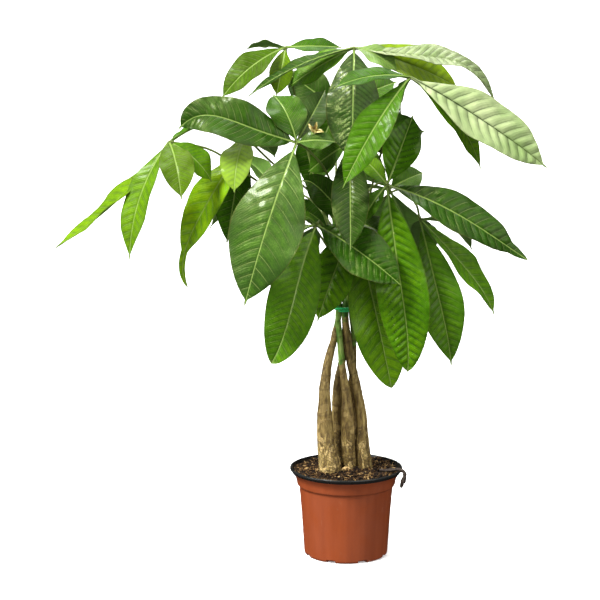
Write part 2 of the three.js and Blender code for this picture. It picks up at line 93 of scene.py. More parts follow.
# A closed skin over rings of points: every point is joined to the next in its ring and to the same point
# of the next ring, and the end rings are closed by a fan. It is turned inside out if its volume is negative.
def skin(rings, marks):
    count, sides = rings.shape[:2]
    points = np.concatenate([rings.reshape(-1, 3), rings[:1].mean(1), rings[-1:].mean(1)])
    i, j = np.meshgrid(np.arange(count - 1), np.arange(sides), indexing="ij")
    k = (j + 1) % sides
    quads = np.stack([i * sides + j, i * sides + k, (i + 1) * sides + k, (i + 1) * sides + j], -1)
    quads = quads.reshape(-1, 4)
    j = np.arange(sides)
    k = (j + 1) % sides
    foot = np.full(sides, count * sides)
    top = (count - 1) * sides
    fans = np.concatenate([np.stack([foot, k, j], -1), np.stack([foot + 1, top + j, top + k], -1)])
    spread = {}
    for name, values in marks.items():
        values = np.broadcast_to(values, (count, sides)).astype(float)
        spread[name] = np.concatenate([values.ravel(), values[:1].mean(1), values[-1:].mean(1)])
    thirds = np.concatenate([quads[:, [0, 1, 2]], quads[:, [0, 2, 3]], fans])
    a, b, c = (points[thirds[:, n]] for n in range(3))
    if (a * np.cross(b, c)).sum() < 0:
        quads = quads[:, ::-1]
        fans = fans[:, ::-1]
    return {"points": points, "quads": quads, "fans": fans, "marks": spread}


# A section carried along a centre line: at each place, a ring square to the line, set out from a level
# direction. radii is one number for each place, or one for each point of each ring.
def tube(centres, radii, level, sides, marks):
    along = unit(np.gradient(centres, axis=0))
    right = unit(np.cross(level, along))
    up = np.cross(along, right)
    turn = evenTurn(sides)
    ring = np.cos(turn)[None, :, None] * right[:, None] + np.sin(turn)[None, :, None] * up[:, None]
    radii = np.asarray(radii, float)
    if radii.ndim == 1:
        radii = radii[:, None]
    return skin(centres[:, None] + radii[..., None] * ring, marks)


# The direction square to the plane that a line bends in, or to its own run where it is straight.
def levelOf(rows):
    spine = np.asarray(rows, float)[:, :3]
    chord = spine[-1] - spine[0]
    level = np.cross(spine[len(spine) // 2] - spine[0], chord)
    if np.linalg.norm(level) < 0.02 * (chord @ chord):
        level = np.cross(chord, np.eye(3)[np.argmin(np.abs(chord))])
    return unit(level)


def newObject(name, data):
    made = bpy.data.objects.new(name, data)
    bpy.context.scene.collection.objects.link(made)
    return made


def newMesh(name, points, faces, material):
    mesh = bpy.data.meshes.new(name)
    mesh.from_pydata(points, [], faces)
    mesh.materials.append(material)
    return mesh


# One object from many surfaces, with its place in its mesh and its marks kept as attributes.
def makePiece(name, surfaces, material, nodes=(), sharpFrom=60):
    quads, fans, start = [], [], 0
    for surface in surfaces:
        quads.append(surface["quads"] + start)
        fans.append(surface["fans"] + start)
        start += len(surface["points"])
    points = np.concatenate([surface["points"] for surface in surfaces]) * mm
    mesh = newMesh(name, points, np.concatenate(quads).tolist() + np.concatenate(fans).tolist(), material)
    for mark in surfaces[0]["marks"]:
        values = np.concatenate([surface["marks"][mark] for surface in surfaces])
        layer = mesh.attributes.new(mark, "FLOAT", "POINT")
        layer.data.foreach_set("value", values.astype(np.float32))
    mesh.shade_smooth()
    mesh.set_sharp_from_angle(angle=math.radians(sharpFrom))
    piece = newObject(name, mesh)
    if nodes:
        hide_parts(*nodes)
    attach(piece, "root")


def feed(tree, socket, value):  # a number, a colour of three numbers, or another node's output
    if isinstance(value, bpy.types.NodeSocket):
        tree.links.new(value, socket)
    else:
        socket.default_value = (*value, 1) if socket.type == "RGBA" else value


def addNode(tree, kind, inputs=None, **settings):
    made = tree.nodes.new("ShaderNode" + kind)
    for key, value in settings.items():
        setattr(made, key, value)
    for key, value in (inputs or {}).items():
        feed(tree, made.inputs[key], value)
    return made


def newMaterial(name, numbers):
    material = bpy.data.materials.new(name)
    material.use_nodes = True
    tree = material.node_tree
    shader = tree.nodes["Principled BSDF"]
    for key, value in numbers.items():
        feed(tree, shader.inputs[key], value)
    return material, tree, shader


def mark(tree, name):
    return addNode(tree, "Attribute", attribute_name=name).outputs["Fac"]


def solved(tree, operation, *values, clamp=False):
    inputs = dict(enumerate(values))
    return addNode(tree, "Math", inputs, operation=operation, use_clamp=clamp).outputs[0]


def times(tree, first, second, clamp=False):
    return solved(tree, "MULTIPLY", first, second, clamp=clamp)


def timesPlus(tree, first, second, third, clamp=False):
    return solved(tree, "MULTIPLY_ADD", first, second, third, clamp=clamp)


def sloped(tree, value, low, high, start=0.0, end=1.0):  # from start to end as value goes from low to high
    inputs = {"Value": value, "From Min": low, "From Max": high, "To Min": start, "To Max": end}
    return addNode(tree, "MapRange", inputs, interpolation_type="SMOOTHSTEP").outputs[0]


def blended(tree, share, first, second):
    inputs = {0: share, 6: first, 7: second}
    return addNode(tree, "Mix", inputs, data_type="RGBA").outputs[2]


def colourRamp(tree, value, stops):
    made = addNode(tree, "ValToRGB", {"Fac": value})
    band = made.color_ramp
    while len(band.elements) < len(stops):
        band.elements.new(1)
    for element, (place, colour) in zip(band.elements, stops):
        element.position = place
        element.color = (*colour, 1)
    return made.outputs["Color"]


def placeOf(tree, stretch=(1, 1, 1)):  # the piece's own place, in metres
    place = addNode(tree, "TexCoord").outputs["Object"]
    return addNode(tree, "Mapping", {"Vector": place, "Scale": stretch}).outputs["Vector"]


def grainOf(tree, size, detail=3.0, stretch=(1, 1, 1), roughness=0.5, warp=0.0):  # size in mm
    inputs = {"Vector": placeOf(tree, stretch), "Scale": 1 / (size * mm), "Detail": detail}
    inputs.update({"Roughness": roughness, "Distortion": warp})
    return addNode(tree, "TexNoise", inputs).outputs["Fac"]


def cellsOf(tree, size, feature):
    inputs = {"Vector": placeOf(tree), "Scale": 1 / (size * mm)}
    return addNode(tree, "TexVoronoi", inputs, feature=feature).outputs["Distance"]


# Gives the shader its colour, its bump, whose depth is in mm, and, where it varies, its roughness.
def finishWith(tree, shader, colour, height, depth, dull=None):
    feed(tree, shader.inputs["Base Color"], colour)
    if dull is not None:
        feed(tree, shader.inputs["Roughness"], dull)
    bump = addNode(tree, "Bump", {"Height": height, "Distance": depth * mm, "Strength": 1.0})
    feed(tree, shader.inputs["Normal"], bump.outputs["Normal"])


# Camera, light and floor

cameraSet = {
    "place": (-53.2, -2425, 736),  # mm
    "down": 10.26,  # degrees below level
    "lens": 130.1,
    "sees": 200,  # metres
}
lightSet = {  # headings, rises and spreads in degrees
    "key": {"heading": -143, "rise": 50, "power": 5.9, "spread": 18},
    "fill": {"heading": -50, "rise": 28, "power": 1.15, "spread": 50},
    "top": {"heading": 75, "rise": 64, "power": 2.0, "spread": 36},
    "low": {"heading": -160, "rise": 12, "power": 1.0, "spread": 24},
    "around": 0.47,
    "floorGlow": 0.25,
    "floor": (0.92, 0.92, 0.91),
    "floorWide": 60,  # metres
    "floorDrop": 0.0004,  # metres below the pot's foot
    "domeRadius": 45,  # metres
    "domeRise": (-20, 89),  # degrees
    "domeSides": 48,
    "domeRings": 24,
}


def makeStudio():
    scene = bpy.context.scene
    scene.view_settings.view_transform = "Standard"
    scene.cycles.use_denoising = True
    camera = newObject("camera", bpy.data.cameras.new("camera"))
    camera.location = [n * mm for n in cameraSet["place"]]
    camera.rotation_euler = (math.radians(90 - cameraSet["down"]), 0, 0)
    camera.data.lens = cameraSet["lens"]
    camera.data.clip_end = cameraSet["sees"]
    scene.camera = camera
    for name in ("key", "fill", "top", "low"):
        aim = lightSet[name]
        lamp = bpy.data.lights.new(name, "SUN")
        lamp.energy = aim["power"]
        lamp.angle = math.radians(aim["spread"])
        light = newObject(name, lamp)
        light.rotation_euler = (0, math.radians(90 - aim["rise"]), math.radians(aim["heading"]))
    world = bpy.data.worlds.new("studio")
    world.use_nodes = True
    sky = world.node_tree.nodes["Background"]
    sky.inputs["Color"].default_value = (1, 1, 1, 1)
    sky.inputs["Strength"].default_value = lightSet["around"]
    world.cycles_visibility.glossy = False  # glossy leaves show the lights, not the pale room
    scene.world = world

    half = 0.5 * lightSet["floorWide"]
    corners = [(-half, -half), (half, -half), (half, half), (-half, half)]
    corners = [(x, y, -lightSet["floorDrop"]) for x, y in corners]
    glow = {"Emission Color": (1, 1, 1), "Emission Strength": lightSet["floorGlow"]}
    numbers = {"Base Color": lightSet["floor"], "Roughness": 0.9, "Specular IOR Level": 0.1, **glow}
    paint = newMaterial("floor_paint", numbers)[0]
    floor = newObject("floor", newMesh("floor", corners, [(0, 1, 2, 3)], paint))
    floor.visible_glossy = False
    floor.visible_diffuse = False

    glow = {"Emission Color": (1, 1, 1), "Emission Strength": 1.0}
    numbers = {"Base Color": (0, 0, 0), "Roughness": 1.0, "Specular IOR Level": 0.0, **glow}
    paint = newMaterial("backdrop_paint", numbers)[0]
    rise = np.radians(np.linspace(*lightSet["domeRise"], lightSet["domeRings"]))[:, None]
    dome = onRings(np.cos(rise), evenTurn(lightSet["domeSides"]), np.sin(rise))
    shell = skin(dome * lightSet["domeRadius"] / mm, {})
    faces = shell["quads"].tolist() + shell["fans"].tolist()
    backdrop = newObject("backdrop", newMesh("backdrop", shell["points"] * mm, faces, paint))
    backdrop.visible_diffuse = False
    backdrop.visible_glossy = False
    backdrop.visible_shadow = False
    backdrop.visible_transmission = False
    print("studio made")


makeStudio()


# Leaves. Each is a stalk and the blades that spread from its end, the hub. A blade has first its tip,
# where it ends, seen from the hub; its width; its bow, how far its middle stands out along its face; its
# face, the heading and rise of its upper side in degrees; and its tone, from 0, dark and old, to 1, young
# and yellow-green, on some blades raised or lowered as painted light and shade. Then come its own values,
# where they differ from bladeForm.


def newBlade(tip, wide, bow, face, tone, **own):
    return {"tip": tip, "wide": wide, "bow": bow, "face": face, "tone": tone, **own}


leafTable = {
    "front_left": {
        "stalk": [(-1.4, -9.4, 366), (-8, -10, 402), (-24, -22, 446), (-43, -46, 472), (-57, -60, 483)],
        "blades": [
            newBlade((-131, 10, 12), 50, 16, (-97, 32), 0.13, turn=(0, 0, 15), full=0.5, veins=17,
                     pucker=0.13, gloss=0.3),
            newBlade((-26, 30, 50), 47, 9, (-66, 15), 0.28),
            newBlade((32, 66, 52), 32, 4, (-80, 10), 0.16, pale=0.06),
            newBlade((-57, -50, -174), 80, 18, (-98, 12), 0.24, full=0.8, fold=-0.08, veins=13,
                     pale=0.04),
            newBlade((42, -2, 1), 26, 5, (-90, 35), 0.28),
        ],
    },
    "far_left": {
        "stalk": [(-20.5, -7.4, 358), (-56, -14, 406), (-102, -47, 440), (-150, -57, 474), (-196, -70, 485)],
        "blades": [
            newBlade((-128, 0, -118), 44, -8, (-165, 35), 0.6, neck=6, warm=0.1),
            newBlade((-43, -25, -127), 37, 16, (-130, 5), 0.52, warm=0.06),
            newBlade((16, -50, -57), 38, 12, (-80, 35), 0.38, warm=0.1),
            newBlade((46, 8, -44), 34, 8, (-72, 44), 0.56),
            newBlade((58, 66, 14), 30, 6, (90, 70), 0.5),
        ],
    },
    "middle_left": {
        "stalk": [(-14.6, 16.6, 388), (-46, 4, 424), (-82, -18, 454), (-113, -32, 486)],
        "blades": [
            newBlade((-12, -46, -56), 38, 10, (-108, 22), 0.68, full=0.72, veins=13, pale=0.08,
                     warm=0.14),
            newBlade((-65, -16, -167), 50, 13, (-130, 15), 0.82, turn=(-13, 0, -2), flesh=0.76,
                     full=1.3, neck=7),
            newBlade((-23, 26, -124), 42, 4, (-105, 0), 0.34),
            newBlade((-25, 62, 14), 32, 8, (110, 50), 0.45),
            newBlade((32, 62, -30), 30, 8, (70, 50), 0.4),
        ],
    },
    "top": {
        "stalk": [(7, 11, 370), (14, 14, 440), (10, 7, 530), (7, 0, 583)],
        "blades": [
            newBlade((-119, 0, -55), 26, 8, (-120, 70), 0.12),
            newBlade((161, -10, -70), 42, 14, (-80, 70), 0.22, turn=(2, 0, 22), pale=0.46, veins=19,
                     pucker=0.22, gloss=0.6),
            newBlade((48, -10, -26), 30, 6, (-70, 45), 0.6, pale=0.2),
            newBlade((-3, -50, -122), 60, 10, (-92, 12), 0.1, full=0.62, fold=-0.15, pale=0.05,
                     veins=22, pucker=0.2, gloss=1),
            newBlade((121, 34, -49), 48, 8, (-75, 38), 0.82, warm=0.18),
            newBlade((-75, 24, -47), 34, 3, (-95, 42), 0.47),
        ],
    },
    "top_right": {
        "stalk": [(11, -5.4, 352), (28, -8, 430), (52, -30, 520), (67, -50, 554)],
        "blades": [
            newBlade((-74, -30, -119), 43, 12, (-110, 20), 0.42, veins=17, pucker=0.1),
            newBlade((-84, -15, -11), 30, 8, (-95, 62), 0.3),
            newBlade((151, -15, -99), 60, 7, (-75, 36), 0.42, turn=(2, 0, -1), pale=0.68, veins=14,
                     pucker=0.22),
            newBlade((82, 34, -106), 32, 17, (-60, 30), 0.62),
            newBlade((-8, 52, -46), 26, 4, (-100, 40), 0.1),
        ],
    },
    "middle_right": {
        "stalk": [(13.5, -5.6, 366), (12, -22, 440), (24, -34, 462), (38, -45, 447), (43, -48, 435)],
        "blades": [
            newBlade((29, 16, 76), 42, 6, (-88, 12), 0.36, veins=12, pucker=0.22, gloss=1),
            newBlade((-30, 6, 32), 22, 4, (-90, 30), 0.6),
            newBlade((156, -15, -82), 48, 16, (-75, 38), 0.1, turn=(0, 0, -3), flesh=0.84, full=0.7,
                     neck=12, veins=17, pucker=0.15, gloss=0.35),
            # its tone is raised to paint the sheen it shows
            newBlade((25, -2, -217), 58, 6, (-88, 5), 0.5, turn=(4, 0, 0), full=0.66, veins=24,
                     pucker=0.2, gloss=1, drip=0),
            newBlade((-28, -8, -42), 20, 6, (-110, 20), 0.4),
        ],
    },
    "lower_right": {
        "stalk": [(9.5, -5.2, 342), (34, -12, 406), (60, -16, 426), (76, -18, 410), (81, -18, 393)],
        "blades": [
            newBlade((37, -8, -168), 51, 9, (-85, 10), 0.49, turn=(2, 0, 0), veins=20, pucker=0.13),
            newBlade((85, -5, -109), 42, 6, (-40, 34), 0.55, turn=(4, 0, -1)),
            newBlade((64, 56, -44), 34, 12, (40, 50), 0.34),
            newBlade((14, 66, -62), 32, 10, (90, 40), 0.34),
        ],
    },
    "lower_middle": {
        "stalk": [(-15, -6.4, 334), (-23, -16, 366), (-30, -32, 391), (-35, -42, 390)],
        "blades": [
            newBlade((-52, -18, -159), 57, 14, (-95, 12), 0.5, turn=(5, 0, 0), full=0.6, veins=20,
                     drip=0),
            newBlade((93, -32, -63), 56, 8, (-75, 25), 0.19, full=0.7, veins=14, pucker=0.18,
                     gloss=0.6),
            newBlade((-67, 29, -46), 30, 10, (-140, 40), 0.36),
            newBlade((-16, 52, -66), 28, 7, (100, 35), 0.36),
            newBlade((-24, -20, 14), 18, 4, (-110, 50), 0.5),
        ],
    },
    "top_left": {
        "stalk": [(-9.8, 10, 345), (-28, 16, 400), (-46, 28, 470), (-62, 36, 540), (-70, 34, 581)],
        "blades": [
            newBlade((-72, -15, -57), 37, 12, (-110, 33), 0.3, warm=0.06),
            newBlade((-44, 5, -2), 24, 3, (100, 68), 0.34),
            newBlade((-10, -15, -54), 27, 4, (-84, 4), 0.54, warm=0.12),
            newBlade((64, -4, 0), 22, 2, (-95, 48), 0.31),
        ],
    },
    "centre": {
        "stalk": [(-1.2, -10, 372), (-3, -14, 430), (2, -20, 470), (2, -25, 480)],
        "blades": [
            newBlade((0, -52, -114), 42, 6, (-90, 8), 0.06, full=0.7, veins=22, pucker=0.18, gloss=0.1),
            newBlade((-46, 30, -37), 28, 4, (-100, 20), 0.36),
            newBlade((87, 66, 5), 48, 6, (-82, 8), 0.16),
        ],
    },
    "inner": {
        "stalk": [(6.6, -4.6, 322), (12, -16, 368), (10, -23, 390), (8, -24, 390)],
        "blades": [
            newBlade((-60, 4, 45), 34, 3, (-95, 20), 0.24, turn=(0, 0, 8)),
            # its tone is raised to paint the sheen and light it shows
            newBlade((-42, -10, -112), 50, 8, (-100, 15), 0.55, veins=11, pucker=0.18, gloss=0.8),
            newBlade((44, 0, -196), 60, 10, (-85, 5), 0.6, full=0.66, drip=0),
            newBlade((47, -12, -22), 36, 6, (-80, 40), 0.3),
        ],
    },
    "back_right": {
        "stalk": [(9.4, 13.4, 386), (24, 36, 416), (42, 62, 424), (50, 70, 415)],
        "blades": [
            newBlade((40, 10, 18), 34, 4, (-90, 30), 0.3),
            newBlade((40, 44, -130), 44, 14, (60, 30), 0.28),
            newBlade((-5, 50, -140), 48, 16, (90, 25), 0.34),
            newBlade((-50, 30, 45), 36, 6, (-85, 25), 0.36),
            newBlade((-60, 50, -30), 38, 12, (120, 55), 0.28),
        ],
    },
    "back_left": {
        "stalk": [(-13, 14.4, 374), (-38, 42, 404), (-64, 68, 412), (-75, 75, 400)],
        "blades": [
            newBlade((-32, 30, -92), 40, 12, (120, 30), 0.34),
            newBlade((-85, 25, -35), 36, 14, (140, 55), 0.36),
            newBlade((0, 40, -135), 46, 16, (90, 25), 0.28),
            newBlade((60, 45, -50), 38, 12, (-85, 45), 0.34),
            newBlade((-50, 40, 50), 34, 8, (80, 40), 0.4),
        ],
    },
    "back_top": {
        "stalk": [(-11.6, 12.6, 362), (-12, 44, 450), (-12, 84, 500), (-12, 102, 505)],
        "blades": [
            newBlade((-70, 35, -15), 38, 12, (110, 55), 0.28),
            newBlade((98, 35, -39), 42, 14, (-90, 40), 0.2),
            newBlade((-35, 12, -92), 50, 6, (-92, 15), 0.26),
            newBlade((40, 65, -85), 42, 16, (70, 35), 0.3),
            newBlade((72, 20, 30), 44, 6, (-88, 25), 0.36),
            newBlade((-58, 8, 42), 48, 5, (-90, 25), 0.1),
        ],
    },
    "back_low": {
        "stalk": [(3, 6.9, 328), (16, 28, 356), (33, 47, 358), (40, 52, 345)],
        "blades": [
            newBlade((80, 25, -30), 34, 12, (50, 55), 0.3),
            newBlade((38, 30, -100), 40, 12, (60, 30), 0.28),
            newBlade((-12, 40, -105), 40, 12, (100, 30), 0.34),
            newBlade((-78, 10, -20), 38, 6, (-95, 10), 0.1),
        ],
    },
}
youngLeaves = ("far_left", "middle_left", "top_right", "top_left")

bladeForm = {
    "rootWide": 3.2,
    "tipWide": 1.2,
    "neck": 0,  # how much wider the narrow part at the tip is than a plain one
    "bareRoot": 0.05,  # share of the rib with no flesh
    "flesh": 0.91,  # share of the rib that carries flesh
    "late": 1.14,  # above 1, the widest place lies past the middle
    "full": 0.84,  # below 1, the outline is fuller than a sine
    "drip": 0.055,  # width of the tip's own flesh, per unit of the blade's; 0 on a blunt tip
    "bluntShare": 0.972,  # how much of its run to the tip a blunt blade fills
    "bluntEnd": 0.005,  # share of the rib past the flesh of a blunt blade
    "turn": (0, 0, 0),  # how far the blade stands off before its last part turns back
    "fold": 0.2,  # lift of the edge from the rib, per unit of width
    "wave": 0.05,
    "waves": 2.4,
    "waveShift": 1.7,
    "thick": 0.55,
    "ribDeep": 1.9,  # how far the rib stands out below at its root
    "ribLeast": 0.25,  # and at the tip
    "ribRound": 1.1,  # how far from the rib's middle it has mostly gone
    "ribWide": 1.15,
    "crease": 0.35,  # depth of the groove along the rib
    "creaseWide": 0.9,
    "veins": 15,  # side veins on each half
    "slant": 0.5,
    "sweep": 0.011,  # how much more the veins slant towards the edge
    "pucker": 0.05,  # height of the swelling between two veins, per unit of their spacing
    "puckerFrom": 2.5,  # distance from the rib over which the swellings come up
    "rough": 0.25,
    "roughSize": 16,
    "roughFrom": 4,
    "grown": (3, 12),  # half-widths between which swellings and roughness come in
    # pale: a silvery wash painted as sheen, standing in for reflected light
    "pale": 0,  # how silvery it is
    "warm": 0,  # how far it has yellowed
    "gloss": 0,  # how much it shines
    "step": 1.5,
    "columns": 23,
}
stalkForm = {
    "radius": 1.3,
    "foot": 0.9,  # how much thicker the foot is, which thins out over footLong
    "footLong": 7,
    "knuckle": 1.5,  # how much thicker the hub is, which thins out over knuckleLong
    "knuckleLong": 4.5,
    "sides": 10,
    "step": 3.0,
}

latePeak = 256 / 27


def lateRise(share):  # 0 at both ends and 1 at three quarters
    return latePeak * share**3 * (1 - share)


def lateSlope(share):
    return latePeak * share**2 * (3 - 4 * share)


# The blade's half-width at a share of its rib: a sine, pushed towards the tip and filled out, and never
# less than the narrow part, which tapers from root to tip and has the drip tip's own flesh at its end.
def halfWidth(share, form):
    fleshy = form["flesh"] if form["drip"] else 1 - form["bareRoot"] - form["bluntEnd"]
    flesh = np.clip((share - form["bareRoot"]) / fleshy, 0, 1)
    body = np.maximum(np.sin(math.pi * flesh ** form["late"]), 0) ** form["full"]
    narrow = form["rootWide"] + (form["tipWide"] - form["rootWide"]) * share
    narrow = narrow + form["neck"] * lateRise(share)
    left = 1 - share
    drip = form["drip"] * form["wide"] * np.clip(left / 0.1, 0, 1) * smoothStep(0.7, 0.92, share)
    narrow = (narrow + drip) * np.clip(left / 0.02, 0.3, 1)  # draws in over its last fiftieth
    return 0.5 * np.maximum(narrow, form["wide"] * body)


# A blade over u, along its rib, and v, from edge to edge. The rib is a straight run to the tip, plus a
# parabola along the face, plus turn times lateRise(u). At (u, v) the surface stands off the rib by v
# times the half-width, and rises by the fold, the wave of the edge, and the swellings, which are
# parabolas between slanting veins.
def bladeSurface(hub, blade, index, seed):
    form = {**bladeForm, **blade}
    tip = np.array(blade["tip"], float)
    if not form["drip"]:
        tip = tip * form["bluntShare"]
    heading, rise = np.radians(blade["face"])
    looks = np.array([math.cos(rise) * math.cos(heading), math.cos(rise) * math.sin(heading), math.sin(rise)])
    straight = unit(tip)
    out = unit(looks - straight * (looks @ straight))
    length = np.linalg.norm(tip)
    u = np.linspace(0, 1, int(np.clip(length / form["step"], 30, 120)))[:, None]
    columns = form["columns"]
    s = np.linspace(-1, 1, columns)[None, :]
    v = s * (0.35 + 0.65 * np.abs(s))  # closer together by the rib
    turn = np.array(form["turn"], float)
    rib = hub + tip * u + out * 4 * form["bow"] * u * (1 - u) + turn * lateRise(u)
    along = unit(tip + out * 4 * form["bow"] * (1 - 2 * u) + turn * lateSlope(u))
    side = unit(np.cross(along, out))
    face = np.cross(side, along)
    half = halfWidth(u, form)
    away = np.abs(v)
    spacing = length / form["veins"]
    reach = away * half
    shift = np.where(v > 0, 0.5, 0.0)  # the two halves' veins take turns
    vein = (u * length - form["slant"] * reach - form["sweep"] * reach**2) / spacing + shift + 40
    part = vein % 1
    swelling = 4 * part * (1 - part) * (1 - np.exp(-reach / form["puckerFrom"])) * (1 - away**6)
    phase = fullTurn * form["waves"] * u + np.sign(v) + form["waveShift"] * index
    wave = 2 * form["wave"] * half * np.sin(phase)
    flat = rib[:, None] + side[:, None] * (v * half)[..., None]
    rough = ripples(flat, form["roughSize"], seed) * form["rough"] * (1 - np.exp(-reach / form["roughFrom"]))
    crease = -form["crease"] * np.exp(-((reach / form["creaseWide"]) ** 2))
    grown = smoothStep(*form["grown"], half)
    height = form["fold"] * half * away + wave * away**2 + crease
    height = height + grown * (form["pucker"] * spacing * swelling * (1 + 0.35 * rough) + rough)
    ribDeep = form["ribDeep"] * (1 - u) ** 1.5 + form["ribLeast"]
    thick = form["thick"] + ribDeep * np.exp(-((reach / form["ribRound"]) ** 2))
    top = flat + face[:, None] * height[..., None]
    bottom = flat + face[:, None] * (height - thick)[..., None]
    rings = np.concatenate([top, bottom[:, ::-1]], 1)

    def both(values):  # the same on the upper side and below
        values = np.broadcast_to(values, (len(u), columns))
        return np.concatenate([values, values[:, ::-1]], 1)

    marks = {
        "tone": form["tone"],
        # painted sheen, strongest at the root and fading towards the tip
        "pale": both(form["pale"] * (1.3 - 0.7 * u) + 0 * v),
        "warm": form["warm"],
        "across": both(v * half / (form["ribWide"] * (1.15 - 0.65 * u))),  # 1 at the rib line's edge
        "edge": both(away),
        "vein": both(vein),
        "under": np.broadcast_to(np.repeat([0.0, 1.0], columns), (len(u), 2 * columns)),
        "stalk": both(np.maximum(1 - u / 0.05, 0.6 * smoothStep(0.96, 1, u)) + 0 * v),
        "gloss": form["gloss"],
    }
    return skin(rings, marks)


# A stalk: a tube that swells over its last millimetres into the hub, and a little at its foot.
def stalkSurface(rows):
    form = stalkForm
    rows = np.asarray(rows, float)
    length = lengthOf(rows)
    shares = np.linspace(0, 1, int(length / form["step"]) + 8)
    centres = alongRows(rows, shares)
    run = shares * length
    radii = form["radius"] + form["foot"] * np.exp(-run / form["footLong"])
    radii = radii + form["knuckle"] * np.exp(-(((length - run) / form["knuckleLong"]) ** 2))
    radii[-1] *= 0.6  # rounds its end
    marks = {"tone": 0.5, "pale": 0.0, "warm": 0.0, "gloss": 0.0, "across": 9.0, "edge": 0.0}
    marks.update({"vein": 0.5, "under": 0.0, "stalk": 1.0})
    return tube(centres, radii, levelOf(rows), form["sides"], marks)


def leafSurfaces(leaf, seed):
    hub = np.array(leaf["stalk"][-1], float)
    blades = [bladeSurface(hub, blade, index, seed + index) for index, blade in enumerate(leaf["blades"])]
    return [stalkSurface(leaf["stalk"]), *blades]


leafLook = {
    "tones": [
        (0.0, (0.005, 0.025, 0.001)),
        (0.25, (0.018, 0.075, 0.001)),
        (0.5, (0.054, 0.165, 0.002)),
        (0.75, (0.140, 0.310, 0.002)),
        (1.0, (0.280, 0.470, 0.003)),
    ],
    "veinTint": (0.33, 0.47, 0.11),
    # the colour of the painted sheen
    "paleTint": (0.500, 0.560, 0.300),
    "warmTint": (0.400, 0.360, 0.020),
    # the colour of painted shade in creases
    "paintedShadeTint": (0.004, 0.020, 0.002),
    "brownTint": (0.075, 0.070, 0.014),
    "underTint": (0.20, 0.34, 0.09),
    "stalkTint": (0.075, 0.105, 0.022),
    "stalkPale": (0.200, 0.270, 0.070),
}


